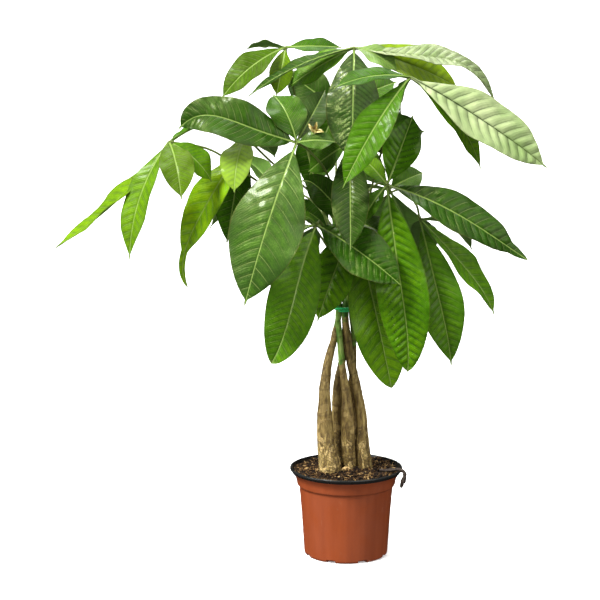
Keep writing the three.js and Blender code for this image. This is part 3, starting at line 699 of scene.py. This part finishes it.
def leafMaterial(name, gloss):
    look = leafLook
    numbers = {"Specular IOR Level": gloss, "Coat Weight": 0.48 * gloss, "Coat Roughness": 0.19}
    numbers["Specular Tint"] = (0.82, 1.0, 0.30)
    material, tree, shader = newMaterial(name, numbers)
    edge, under, pale = mark(tree, "edge"), mark(tree, "under"), mark(tree, "pale")
    across, vein = solved(tree, "ABSOLUTE", mark(tree, "across")), mark(tree, "vein")

    # fine lines beside the side veins, four to each space between two, as a bump and as painted light and
    # shade
    fine = timesPlus(tree, vein, 4 * fullTurn, times(tree, grainOf(tree, 9, 3), 7.0))
    fine = times(tree, solved(tree, "SINE", fine), sloped(tree, across, 0.8, 3.5))

    # the blade's tone, in blotches of two sizes, with a painted highlight on the swellings between veins,
    # painted shade next to the veins, painted light and shade along the fine lines, and darker at the edge
    tone = mark(tree, "tone")
    tone = solved(tree, "ADD", tone, sloped(tree, grainOf(tree, 40, 2), 0.25, 0.75, -0.07, 0.07))
    tone = solved(tree, "ADD", tone, sloped(tree, grainOf(tree, 5, 4), 0.25, 0.75, -0.06, 0.06))
    part = solved(tree, "FRACT", vein)
    inner = sloped(tree, edge, 0.55, 0.98, 1.0, 0.0)
    paintedSwellLightAndShade = times(tree, part, solved(tree, "SUBTRACT", 1.0, part))  # 0.25 midway, 0 on a vein
    paintedSwellLightAndShade = times(tree, solved(tree, "SUBTRACT", paintedSwellLightAndShade, 0.16), inner)
    tone = timesPlus(tree, paintedSwellLightAndShade, 0.5, tone)
    tone = timesPlus(tree, fine, 0.03, tone)
    tone = solved(tree, "ADD", tone, sloped(tree, edge, 0.8, 1.0, 0.0, -0.06), clamp=True)

    # yellowed, a silvery painted sheen, painted shade beside rib and veins, then netted and veined, with the
    # rib and vein lines painted dark as crease shade on sheened and glossy blades
    colour = colourRamp(tree, tone, look["tones"])
    colour = blended(tree, mark(tree, "warm"), colour, look["warmTint"])
    apart = solved(tree, "MINIMUM", part, solved(tree, "SUBTRACT", 1.0, part))
    veinLine = times(tree, sloped(tree, apart, 0.015, 0.06, 1.0, 0.0), inner)
    # painted shade: the creases beside the side veins and the rib
    besideVein = times(tree, sloped(tree, apart, 0.05, 0.2, 1.0, 0.0), inner)
    shown = sloped(tree, grainOf(tree, 30, 3), 0.35, 0.65, 0.3, 0.85)
    ribLine = sloped(tree, across, 0.55, 0.95, 1.0, 0.0)
    besideRib = sloped(tree, across, 0.9, 2.4, 1.0, 0.0)
    net = sloped(tree, cellsOf(tree, 2.6, "DISTANCE_TO_EDGE"), 0.0, 0.09, 1.0, 0.0)
    # painted sheen: a silvery wash in broad blotches, as much as the blade carries
    paintedSheenShare = times(tree, pale, sloped(tree, grainOf(tree, 34, 3), 0.35, 0.6, 0.7, 1.08))
    colour = blended(tree, paintedSheenShare, colour, look["paleTint"])
    # painted shade: darker beside rib and veins, where the creases lie in shade
    shade = times(tree, solved(tree, "MAXIMUM", besideVein, besideRib), 0.34)
    colour = blended(tree, shade, colour, blended(tree, 0.55, colour, look["paintedShadeTint"]))
    veined = blended(tree, 0.5, colour, look["veinTint"])
    ribbed = blended(tree, 0.7, colour, look["veinTint"])
    # on sheened and glossy blades the rib and vein lines are painted dark, as crease shade within the sheen
    paintedCreaseShade = blended(tree, 0.85, colour, look["paintedShadeTint"])
    ribShadeShare = times(tree, pale, 1.6, clamp=True)
    veinShadeShare = timesPlus(tree, mark(tree, "gloss"), 0.8, ribShadeShare, clamp=True)
    colour = blended(tree, times(tree, net, 0.05), colour, veined)
    veinTint = blended(tree, veinShadeShare, veined, paintedCreaseShade)
    colour = blended(tree, times(tree, veinLine, shown), colour, veinTint)
    ribTint = blended(tree, ribShadeShare, ribbed, paintedCreaseShade)
    colour = blended(tree, times(tree, ribLine, 0.9), colour, ribTint)

    # a brown margin, a paler underside and a mottled stalk
    margin = times(tree, sloped(tree, edge, 0.95, 1.0), grainOf(tree, 6, 3))
    colour = blended(tree, margin, colour, look["brownTint"])
    colour = blended(tree, times(tree, under, 0.42), colour, look["underTint"])
    stalk = blended(tree, grainOf(tree, 14, 3), look["stalkTint"], look["stalkPale"])
    colour = blended(tree, mark(tree, "stalk"), colour, stalk)

    dull = sloped(tree, grainOf(tree, 22, 4), 0.3, 0.7, 0.34, 0.46)
    dull = timesPlus(tree, under, 0.2, dull)
    dull = timesPlus(tree, mark(tree, "gloss"), -0.2, dull)
    height = times(tree, veinLine, -0.4)
    height = timesPlus(tree, fine, 0.14, height)
    height = timesPlus(tree, net, -0.2, height)
    height = timesPlus(tree, grainOf(tree, 3.2, 3), 0.35, height)
    finishWith(tree, shader, colour, height, 0.4, dull)
    return material


leafPaint = {
    "leaf_green": leafMaterial("leaf_green_skin", 0.42),
    "leaf_young": leafMaterial("leaf_young_skin", 0.2),
}
for number, (name, leaf) in enumerate(leafTable.items()):
    slot = "leaf_young" if name in youngLeaves else "leaf_green"
    surfaces = leafSurfaces(leaf, 100 * number)
    makePiece("foliage_" + name, surfaces, leafPaint[slot], ["leaf_" + name], 50)
print("leaves made")


# A young bud beside the front left leaf's hub: a short green stalk and three folded leaflets.

budTable = {
    "stalk": [(-56, -59, 483), (-49, -57, 485), (-42, -60, 489), (-38, -62, 494)],
    "blades": [
        newBlade((-6, -2, 10), 4, 2, (-90, 10), 0.5, veins=4),
        newBlade((3, -3, 12), 4, 2, (-80, 30), 0.5, veins=4),
        newBlade((11, -2, 1), 5, 3, (-95, 40), 0.5, veins=4),
    ],
    "golds": [(0.38, (0.150, 0.090, 0.020)), (0.5, (0.420, 0.340, 0.070)), (0.62, (0.720, 0.640, 0.300))],
    "stalkTint": (0.150, 0.250, 0.050),
}

material, tree, shader = newMaterial("bud_skin", {"Roughness": 0.4, "Specular IOR Level": 0.3})
gold = colourRamp(tree, grainOf(tree, 4, 3), budTable["golds"])
gold = blended(tree, mark(tree, "stalk"), gold, budTable["stalkTint"])
feed(tree, shader.inputs["Base Color"], gold)
makePiece("young_bud", leafSurfaces(budTable, 90), material, sharpFrom=50)
print("bud made")


# Stems: x, y, z and radius from the foot in the soil to the top of the green shoot. green is the share
# at which the trunk ends, and barkPast how far the bark's colour runs on up the shoot.

stemTable = {
    "front_left": {"green": 0.74, "rows": [
        (-17, -12, 56, 8), (-17, -14, 96, 13), (-21.6, -13, 122, 11.4),
        (-25, -12, 158, 8.8), (-25, -10, 192, 6.5), (-22, -5, 222, 5.2),
        (-14, 0.4, 254, 4), (-8.4, 1.7, 289, 3.1), (-14, -4.6, 330, 3),
        (-24, -8, 372, 2.4),
    ]},
    "front_middle": {"green": 0.58, "rows": [
        (6, -4, 56, 6.5), (4.5, -3, 96, 7.4), (2, -5, 122, 8),
        (1.4, -7.6, 158, 7.6), (-0.6, -8.6, 192, 5), (-5, -8, 222, 3.9),
        (-8, -6.8, 254, 3.5), (-9.8, -5.4, 289, 3.1), (-4, -8, 335, 3),
        (-1, -11, 385, 2.4),
    ]},
    "back_left": {"green": 0.68, "rows": [
        (-7, 20, 56, 7.5), (-7, 19, 96, 9), (-8.5, 16, 130, 7.4),
        (-9.8, 12, 168, 6.8), (-9.4, 9, 196, 5.8), (-5, 8.4, 224, 4.2),
        (-2, 6.4, 256, 3.6), (-1.5, 2.6, 289, 3.1), (-9, 9, 338, 3),
        (-15, 17, 392, 2.4),
    ]},
    "right": {"green": 0.69, "rows": [
        (24, 1, 56, 7.5), (21.5, 0, 96, 9), (19, -1, 124, 8),
        (17.4, -2, 160, 6.3), (11.6, -2, 196, 5.2), (5.2, -1.8, 224, 5.2),
        (0.8, -2.8, 254, 4.6), (-1.8, -5.2, 289, 3.7), (8, -5, 334, 3),
        (16, -6, 380, 2.4),
    ]},
    "back_right": {"green": 0.6, "rows": [
        (12, 23, 56, 6), (11, 22, 96, 7.4), (8, 18, 130, 6),
        (7, 15, 168, 5.4), (6.4, 12, 196, 4.4), (8.4, 7.4, 224, 3.2),
        (8, 2.6, 256, 3), (4.8, -0.4, 289, 3.1), (4, 8, 342, 3),
        (11, 15, 400, 2.4),
    ]},
}

barkPast = {"right": 28, "front_left": 4, "front_middle": 8, "back_left": 4, "back_right": 20}  # mm

stemForm = {
    "sides": 28,
    "step": 1.3,
    "ripples": [(7, 0.22, 0.028), (3.2, 0.6, 0.012)],  # size, stretch along the stem, and height
    "shootGrain": 0.4,  # how much of the long ripples a shoot keeps
    "scarEvery": 30,
    "scarSpread": (0.55, 1.5),
    "scars": 40,
    "scarTilt": 1.6,
    "scarWide": 1.1,
    "scarHigh": 0.35,
    "flutes": 3,
    "fluteTwist": 0.02,
    "fluteHigh": 0.05,
    "soilTop": 96,  # the flutes fade from here upwards
    "fluteFade": 22,
    "greening": (-26, 8),  # from before the bark's end to past it
    "footEnds": (120, 165),  # heights between which the foot's own bark gives way
}


# A length of stem: a tube whose radius is the rows' own, plus long ripples along the grain, small ones
# across it, a low ridge at each old leaf scar, and flutes that fade upwards from the foot.
def stemSurface(stem, start, end, bare, seed):
    form = stemForm
    rows = np.array(stem["rows"], float)
    length = lengthOf(rows)
    shares = np.linspace(start, end, int((end - start) * length / form["step"]))
    line = alongRows(rows, shares)
    centres, radius = line[:, :3], line[:, 3:]
    level = np.array([0.0, 1.0, 0.0])
    turn = evenTurn(form["sides"])
    run = shares[:, None] * length
    skinPlace = centres[:, None] + radius[..., None] * onRings(1, turn, 0)
    grain, fine = [
        high * ripples(skinPlace * [1, 1, stretch], size, seed + n)
        for n, (size, stretch, high) in enumerate(form["ripples"])
    ]
    rng = np.random.default_rng(seed + 2)
    places = np.cumsum(form["scarEvery"] * rng.uniform(*form["scarSpread"], form["scars"]))
    tilt = form["scarTilt"] * np.sin(turn + rng.uniform(0, fullTurn))[None, :]
    near = np.abs(run + tilt - places[:, None, None]).min(0)
    scar = np.exp(-((near / form["scarWide"]) ** 2))
    aboveSoil = np.maximum(centres[:, 2:] - form["soilTop"], 0)
    flutes = np.sin(form["flutes"] * turn + form["fluteTwist"] * run + seed)
    flutes = form["fluteHigh"] * (flutes * np.exp(-aboveSoil / form["fluteFade"]))
    woody = smoothStep(0, 6, stem["green"] * length - run)
    grain = grain * (form["shootGrain"] + (1 - form["shootGrain"]) * woody)
    radii = radius * (1 + grain + fine * woody + flutes) + form["scarHigh"] * scar
    green = smoothStep(*form["greening"], run - stem["green"] * length - bare) + 0 * turn
    foot = 1 - smoothStep(*form["footEnds"], centres[:, 2:]) + 0 * turn
    return tube(centres, radii, level, form["sides"], {"green": green, "scar": scar, "foot": foot})


barkLook = {
    "grain": [
        (0.28, (0.055, 0.031, 0.007)),
        (0.43, (0.170, 0.110, 0.028)),
        (0.57, (0.300, 0.208, 0.060)),
        (0.72, (0.560, 0.415, 0.140)),
    ],
    "flake": (0.70, 0.50, 0.19),
    "stain": (0.050, 0.026, 0.008),
    "scar": (0.060, 0.034, 0.012),
    "dot": (0.50, 0.44, 0.27),
    "greens": [(0.36, (0.045, 0.125, 0.010)), (0.5, (0.145, 0.300, 0.032)), (0.66, (0.360, 0.500, 0.120))],
}


def stemMaterial(name, rough):
    look = barkLook
    material, tree, shader = newMaterial(name, {"Roughness": rough, "Specular IOR Level": 0.4})

    # bark: long grain, broad stains, pale flakes and cracks, most of them at the foot, and dots
    grain = grainOf(tree, 3.4, 5, (1, 1, 0.22), 0.6, 0.3)
    bark = colourRamp(tree, grain, look["grain"])
    foot = mark(tree, "foot")
    broad = sloped(tree, grainOf(tree, 26, 3, (1, 1, 0.5)), 0.5, 0.8, 0.0, 0.35)
    bark = blended(tree, broad, bark, blended(tree, 0.6, bark, look["stain"]))
    patches = sloped(tree, grainOf(tree, 9, 4, (1, 1, 0.7), 0.6, 0.8), 0.55, 0.58)
    peeled = times(tree, patches, timesPlus(tree, foot, 0.6, 0.2))
    bark = blended(tree, peeled, bark, look["flake"])
    cracks = sloped(tree, cellsOf(tree, 3.4, "DISTANCE_TO_EDGE"), 0.0, 0.1, 0.75, 0.0)
    low = times(tree, cracks, foot)
    bark = blended(tree, low, bark, look["stain"])
    dots = sloped(tree, cellsOf(tree, 9, "F1"), 0.04, 0.09, 0.6, 0.0)
    bark = blended(tree, dots, bark, look["dot"])

    # above it the green skin, from a ragged edge on, and dark scars over both
    shoots = colourRamp(tree, grainOf(tree, 6, 4, (1, 1, 0.25)), look["greens"])
    ragged = sloped(tree, grainOf(tree, 8, 4), 0.3, 0.7, -0.3, 0.3)
    green = solved(tree, "ADD", mark(tree, "green"), ragged, clamp=True)
    colour = blended(tree, sloped(tree, green, 0.35, 0.65), bark, shoots)
    scar = times(tree, mark(tree, "scar"), 0.45)
    colour = blended(tree, scar, colour, look["scar"])

    height = timesPlus(tree, patches, 0.5, grain)
    height = timesPlus(tree, low, -0.8, height)
    finishWith(tree, shader, colour, height, 1.0)
    return material


barkPaint = stemMaterial("bark_skin", 0.58)
shootPaint = stemMaterial("shoot_skin", 0.42)
for number, (name, stem) in enumerate(stemTable.items()):
    seed = 500 + 10 * number
    trunk = stemSurface(stem, 0, stem["green"], barkPast[name], seed)
    makePiece("bark_" + name, [trunk], barkPaint, ["trunk_" + name])
    shoot = stemSurface(stem, stem["green"] - 0.004, 1, barkPast[name], seed)
    makePiece("green_" + name, [shoot], shootPaint, ["shoot_" + name])
print("stems made")


# The tie: two turns of covered wire, carried round the five shoots a little clear of whichever shoot
# stands furthest out in that direction.

tieForm = {
    "level": 289,
    "turns": 2,
    "pitch": 2.9,
    "wire": 1.3,  # radius
    "clear": 0.65,
    "steps": 160,
    "sides": 12,
    "tints": [(0.008, 0.38, 0.085), (0.10, 0.86, 0.30)],
}


def tieSurface():
    form = tieForm
    shoots = np.array([row for stem in stemTable.values() for row in stem["rows"] if row[2] == form["level"]])
    turn = np.linspace(0, form["turns"], form["steps"])
    angle = fullTurn * turn - 0.5 * math.pi
    facing = np.stack([np.cos(angle), np.sin(angle)], -1)
    outer = np.argmax(facing @ shoots[:, :2].T, 1)
    flat = shoots[outer, :2] + facing * (shoots[outer, 3:4] + form["clear"] + form["wire"])
    rise = form["level"] + form["pitch"] * (turn - 0.5 * form["turns"])
    centres = np.column_stack([flat, rise])
    # corners are rounded by a running mean over eight steps
    soft = np.cumsum(np.vstack([np.repeat(centres[:1], 4, 0), centres, np.repeat(centres[-1:], 4, 0)]), 0)
    centres = np.vstack([centres[:1], (soft[8:] - soft[:-8])[:-1] / 8, centres[-1:]])
    radii = np.full(len(centres), form["wire"])
    radii[[0, -1]] *= 0.6
    return tube(centres, radii, np.array([0, 0, 1.0]), form["sides"], {})


numbers = {"Roughness": 0.16, "Coat Weight": 1.0, "Coat Roughness": 0.05}
material, tree, shader = newMaterial("tie_cover", numbers)
tint = blended(tree, grainOf(tree, 4, 2), *tieForm["tints"])
finishWith(tree, shader, tint, grainOf(tree, 2, 2), 0.12)
makePiece("tie_wire", [tieSurface()], material, ["tie"])
print("tie made")


# Pot: profiles as radius and height, outside from the foot up and inside from the lip down, whose
# corners are rounded by cutting them twice, carried round the axis. At each drain slot the foot's points
# are lifted to the slot's roof.

potForm = {
    "outside": [
        (38, 0), (41, 0), (41.05, 0.02), (43, 0.02), (46.6, 0.02), (48, 1.6), (48.1, 2.6), (48.2, 3.4),
        (50.9, 45), (53.9, 80.4), (54.4, 81.2), (56.2, 82.4), (56.6, 83.6), (58.2, 92),
        (64.2, 99), (65, 101), (64.4, 102),
    ],
    "inside": [
        (62.4, 102), (61.6, 98), (56.4, 92), (53, 84), (52.6, 75), (48.9, 45), (46.4, 3), (0, 3),
    ],
    "footRows": 8,  # rows of the outside that are kept sharp
    "lipRows": 3,  # rows of the outside's end that are dark as the lining is
    "floorMiddle": (2, 3),  # the inside's last ring, about the axis
    "slots": 8,
    "slotWide": 11,
    "slotHigh": 3.4,
    "slotSide": 0.0008,  # half the turn that a slot's side takes up, in radians
    "slotRadius": 48,
    "foot": 41,  # radius of the underside, which the slots don't reach
    "sway": 0.1,  # how far the wall strays from round
    "swaySize": 70,
    "around": 180,
}


# Cuts each inner corner of a profile at a quarter and three quarters of its sides, and keeps its ends.
def cornersCut(profile, rounds=2):
    profile = np.asarray(profile, float)
    for _ in range(rounds):
        a, b = profile[:-1], profile[1:]
        cut = np.stack([0.75 * a + 0.25 * b, 0.25 * a + 0.75 * b], 1).reshape(-1, 2)
        profile = np.vstack([profile[:1], cut[1:-1], profile[-1:]])
    return profile


def potSurface():
    form = potForm
    foot = np.array(form["outside"][: form["footRows"]], float)
    wall = cornersCut(form["outside"][form["footRows"] - 1 :])
    lining = cornersCut(form["inside"])
    profile = np.vstack([foot, wall[1:], lining[:-1], form["floorMiddle"]])
    clay = len(foot) + len(wall) - 1 - form["lipRows"]
    lined = np.concatenate([np.zeros(clay), np.ones(len(profile) - clay)])
    middle = fullTurn * (np.arange(form["slots"]) + 0.5) / form["slots"]
    edge = 0.5 * form["slotWide"] / form["slotRadius"]
    sides = np.concatenate([middle + edge, middle - edge])
    sides = [evenTurn(form["around"]), sides - form["slotSide"], sides + form["slotSide"]]
    angle = np.sort(np.concatenate(sides))
    within = np.abs(angle % (2 * middle[0]) - middle[0]) < edge
    radius, height = profile[:, :1], profile[:, 1:]
    atFoot = (radius > form["foot"] + 0.01) & (height < form["slotHigh"]) & (lined[:, None] < 0.5)
    height = np.where(within[None, :] & atFoot, form["slotHigh"], height)
    radius = radius + 0 * angle
    rings = onRings(radius, angle, height)
    place = rings.reshape(-1, 3)
    sway = ripples(place * [1, 1, 0.5], form["swaySize"], 31).reshape(radius.shape)
    sway = sway * form["sway"] * smoothStep(10, 60, height)
    rings[..., :2] *= (1 + sway / np.maximum(radius, 1))[..., None]
    return skin(rings, {"lined": np.broadcast_to(lined[:, None], radius.shape)})


potLook = {
    "clay": [(0.3, (0.235, 0.046, 0.011)), (0.7, (0.280, 0.057, 0.014))],
    "lining": (0.016, 0.017, 0.016),
    "scuff": (0.33, 0.13, 0.065),
    # above these heights the real dark lip, carried down the flare as painted shade where it overhangs
    "lip": (0.0968, 0.0974),  # heights in metres between which the clay colour ends
}


def potMaterial():
    look = potLook
    numbers = {"Specular IOR Level": 0.35, "Coat Weight": 0.05, "Coat Roughness": 0.35}
    material, tree, shader = newMaterial("pot_skin", numbers)
    bands = grainOf(tree, 9, 3, (1, 1, 0.02), 0.5)
    clay = colourRamp(tree, bands, look["clay"])
    scuffs = sloped(tree, grainOf(tree, 12, 8, (1, 1, 0.6), 0.7, 0.5), 0.6, 0.74, 0.0, 0.28)
    clay = blended(tree, scuffs, clay, look["scuff"])
    place = addNode(tree, "SeparateXYZ", {0: addNode(tree, "TexCoord").outputs["Object"]})
    # the real dark lip, carried down the flare as painted shade under its overhang
    lip = sloped(tree, place.outputs["Z"], *look["lip"])
    lined = solved(tree, "MAXIMUM", mark(tree, "lined"), lip)
    colour = blended(tree, lined, clay, look["lining"])
    dull = sloped(tree, grainOf(tree, 20, 5), 0.3, 0.7, 0.4, 0.56)
    dull = timesPlus(tree, lip, -0.2, dull)
    height = times(tree, bands, 0.15)
    height = timesPlus(tree, grainOf(tree, 1.2, 2), 0.12, height)
    finishWith(tree, shader, colour, height, 0.35, dull)
    return material


makePiece("pot_shell", [potSurface()], potMaterial(), ["pot"], 40)
print("pot made")


# Soil: level rings up the pot's wall, then rings inward over the top, whose height is a mound and a heap,
# plus long lumps, and crumbs of three sizes, that die out at the wall.

soilForm = {
    "wall": [(30, 3.3), (46.1, 3.3), (48.6, 45.3), (52.3, 75.3), (52.7, 84.3), (56.1, 92.3)],
    "top": 97,
    "mound": 4.5,
    "radius": 60.2,
    "around": 220,
    "rings": 78,
    "lump": (1.3, 0.31, 0.27),  # height, and how fast it waves along x and y
    "clod": (0.8, 0.5, 0.62),
    "edgeHigh": 1.2,  # rise along the wall
    "crumbs": [(1.0, 9, 71), (0.75, 4.5, 72), (0.4, 2.4, 73)],  # height, size and seed
    "heap": {"place": (31, 37), "wide": (15, 11), "high": 3.2},
}


def soilHeight(x, y):
    form = soilForm
    share = np.hypot(x, y) / form["radius"]
    (lump, lumpX, lumpY), (clod, clodX, clodY) = form["lump"], form["clod"]
    lumps = lump * np.sin(lumpX * x + 1) * np.cos(lumpY * y) + clod * np.sin(clodY * y - clodX * x)
    place = np.stack([x, y, 0 * x], -1)
    crumbs = sum(high * ripples(place, size, seed) for high, size, seed in form["crumbs"])
    (heapX, heapY), (wideX, wideY) = form["heap"]["place"], form["heap"]["wide"]
    heap = form["heap"]["high"] * np.exp(-(((x - heapX) / wideX) ** 2 + ((y - heapY) / wideY) ** 2))
    edge = form["edgeHigh"] * smoothStep(0.8, 0.97, share)
    mound = form["mound"] * (1 - share**2) + (1 - share**4) * lumps
    return form["top"] + mound + edge + heap + crumbs * (1 - share**8)


def soilSurface():
    form = soilForm
    angle = evenTurn(form["around"])
    rings = [onRings(radius, angle, height) for radius, height in form["wall"]]
    for share in np.linspace(1, 0.01, form["rings"]):
        x = form["radius"] * share * np.cos(angle)
        y = form["radius"] * share * np.sin(angle)
        rings.append(np.stack([x, y, soilHeight(x, y)], -1))
    return skin(np.stack(rings), {"shade": 0.22})


# Loose bits on the soil: crumbs are twenty-sided balls, stretched and turned, and fibres are thin tubes
# along a parabola. Each lies at the soil's own height.

bitForm = {
    "spread": 59,
    "crumbs": 1700,
    "crumbSize": (0.5, 1.8),
    "crumbShape": (0.6, 1.3),
    "chips": 60,
    "chipSize": (1.2, 2.4),
    "chipShape": (1.5, 0.7, 0.5),
    "chipShade": (0.5, 0.85),
    "chunks": [  # place, size and shade of the lumps that lie at the stems' feet
        ((-2, -17, 103), (4.6, 2.6, 3.6), 1),
        ((-5, -19, 102.6), (3.4, 2.4, 2.6), 0.9),
        ((1, -16, 103.2), (3, 2, 3.2), 0.95),
        ((-8, -21, 102), (2.6, 1.6, 2), 0.8),
        ((-34, -14, 101), (3.2, 2, 2.2), 0.85),
    ],
    "fibres": 520,
    "fibreHalf": (2, 6.5),  # half its length
    "fibreThick": (0.2, 0.45),
    "fibreTilt": (-0.15, 0.35),
    "fibreBend": (2.0, 2.0, 0.8),
    "fibreLift": 0.7,
    "fibreShade": (0.25, 0.9),
}


def scattered(count, rng):
    radius = bitForm["spread"] * np.sqrt(rng.uniform(0.01, 1, count))
    angle = rng.uniform(0, fullTurn, count)
    x, y = radius * np.cos(angle), radius * np.sin(angle)
    return np.stack([x, y, soilHeight(x, y)], -1)


def turnsOf(count, rng):  # random turns as matrices, from unit quaternions
    w, x, y, z = unit(rng.normal(size=(count, 4))).T
    rows = [
        1 - 2 * (y * y + z * z), 2 * (x * y - z * w), 2 * (x * z + y * w),
        2 * (x * y + z * w), 1 - 2 * (x * x + z * z), 2 * (y * z - x * w),
        2 * (x * z - y * w), 2 * (y * z + x * w), 1 - 2 * (x * x + y * y),
    ]
    return np.stack(rows, -1).reshape(-1, 3, 3)


def ballsAt(places, sizes, shades, rng):
    golden = (1 + math.sqrt(5)) / 2
    corners = [(a, b * golden, 0) for a in (-1, 1) for b in (-1, 1)]
    corners = np.array(corners + [(0, a, b) for a, b, _ in corners] + [(b, 0, a) for a, b, _ in corners])
    apart = np.linalg.norm(corners[:, None] - corners[None], axis=-1)
    i, j, k = np.meshgrid(*[np.arange(12)] * 3, indexing="ij")
    joined = (i < j) & (j < k) & (apart[i, j] < 2.1) & (apart[j, k] < 2.1) & (apart[i, k] < 2.1)
    faces = np.stack([i[joined], j[joined], k[joined]], -1)
    a, b, c = (corners[faces[:, n]] for n in range(3))
    inward = (np.cross(b - a, c - a) * a).sum(-1) < 0
    faces[inward] = faces[inward][:, ::-1]
    ball = unit(corners.astype(float))
    count = len(places)
    stretched = ball[None] * sizes[:, None] * rng.uniform(0.8, 1.2, (count, 12, 1))
    points = places[:, None] + np.einsum("nij,nkj->nki", turnsOf(count, rng), stretched)
    fans = (faces[None] + 12 * np.arange(count)[:, None, None]).reshape(-1, 3)
    return {
        "points": points.reshape(-1, 3),
        "quads": np.zeros((0, 4), int),
        "fans": fans,
        "marks": {"shade": np.repeat(shades, 12)},
    }


def fibreAt(place, rng):
    form = bitForm
    run = np.linspace(-1, 1, 7)[:, None]
    heading = rng.uniform(0, fullTurn)
    way = np.array([math.cos(heading), math.sin(heading), rng.uniform(*form["fibreTilt"])])
    bend = rng.normal(size=3) * form["fibreBend"] * (run**2 - 0.5)
    centres = place + way * run * rng.uniform(*form["fibreHalf"]) + bend + [0, 0, form["fibreLift"]]
    radii = rng.uniform(*form["fibreThick"]) * np.sqrt(np.clip(1.08 - run[:, 0] ** 2, 0, 1))
    level = unit(np.array([-way[1], way[0], 0.0]))
    return tube(centres, radii, level, 4, {"shade": rng.uniform(*form["fibreShade"])})


soilLook = {
    "tints": [
        (0.0, (0.003, 0.0015, 0.0005)),
        (0.3, (0.018, 0.008, 0.002)),
        (0.55, (0.066, 0.032, 0.009)),
        (0.8, (0.200, 0.110, 0.036)),
        (1.0, (0.500, 0.340, 0.140)),
    ],
}


def soilMaterial():
    material, tree, shader = newMaterial("soil_skin", {"Roughness": 0.9, "Specular IOR Level": 0.25})
    shift = sloped(tree, grainOf(tree, 5, 6, roughness=0.7), 0.3, 0.7, -0.25, 0.3)
    shade = solved(tree, "ADD", mark(tree, "shade"), shift, clamp=True)
    colour = colourRamp(tree, shade, soilLook["tints"])
    finishWith(tree, shader, colour, grainOf(tree, 1.6, 4, roughness=0.7), 0.8)
    return material


def makeSoil():
    paint = soilMaterial()
    form = bitForm
    rng = np.random.default_rng(2024)
    count = form["crumbs"]
    sizes = rng.uniform(*form["crumbSize"], (count, 1)) * rng.uniform(*form["crumbShape"], (count, 3))
    shades = rng.uniform(0, 1, count) ** 1.8 * 0.8
    crumbs = ballsAt(scattered(count, rng), sizes, shades, rng)
    count = form["chips"]
    sizes = rng.uniform(*form["chipSize"], (count, 1)) * form["chipShape"]
    chips = ballsAt(scattered(count, rng), sizes, rng.uniform(*form["chipShade"], count), rng)
    places, sizes, shades = (np.array(column) for column in zip(*form["chunks"]))
    chunks = ballsAt(places, sizes, shades, rng)
    fibres = [fibreAt(place, rng) for place in scattered(form["fibres"], rng)]
    makePiece("soil_bed", [soilSurface()], paint, ["soil"], 180)
    makePiece("soil_crumbs", [crumbs, chips, chunks], paint)
    makePiece("soil_fibres", fibres, paint, sharpFrom=80)
    print("soil made")


makeSoil()


# Dried root: a tube along its own rows, pinched and ribbed lengthwise, with a loose thread at its end.

rootForm = {
    "rows": [
        (38, -15, 101.9, 1.3), (45, -17, 101.8, 1.6), (53, -20, 103.2, 1.8), (60, -23.4, 104.4, 1.8),
        (65.6, -26, 102, 1.9), (66, -26.4, 96, 2.2), (63.6, -25.6, 89, 2.4), (62.2, -25, 84, 1),
    ],
    "thread": [(62.4, -25, 86, 0.5), (62.6, -25.2, 80, 0.3), (61.4, -25.4, 74, 0.3), (60.2, -25.2, 66, 0.25)],
    "sides": 16,
    "ribs": 4,
    "ribTwist": 0.15,
    "ribHigh": 0.16,  # share of the radius
    "pinch": 0.12,
    "pinchSize": 6,
    "tints": [(0.3, (0.012, 0.009, 0.007)), (0.6, (0.060, 0.042, 0.030)), (0.8, (0.20, 0.155, 0.115))],
}


def rootSurface(rows, steps):
    form = rootForm
    line = alongRows(rows, np.linspace(0, 1, steps))
    turn = evenTurn(form["sides"])
    ribs = form["ribHigh"] * np.sin(form["ribs"] * turn[None] + form["ribTwist"] * line[:, 2:3])
    pinches = form["pinch"] * ripples(line[:, :3], form["pinchSize"], 91)[:, None]
    radii = line[:, 3:] * (1 + ribs + pinches)
    return tube(line[:, :3], radii, np.array([0, 1.0, 0.1]), form["sides"], {})


material, tree, shader = newMaterial("root_skin", {"Roughness": 0.8, "Specular IOR Level": 0.3})
fibreTint = colourRamp(tree, grainOf(tree, 2.5, 5, roughness=0.7), rootForm["tints"])
finishWith(tree, shader, fibreTint, grainOf(tree, 1.5, 4), 0.5)
threads = [rootSurface(rootForm["rows"], 70), rootSurface(rootForm["thread"], 30)]
makePiece("root_strip", threads, material, ["dried_root"])
print("root made")
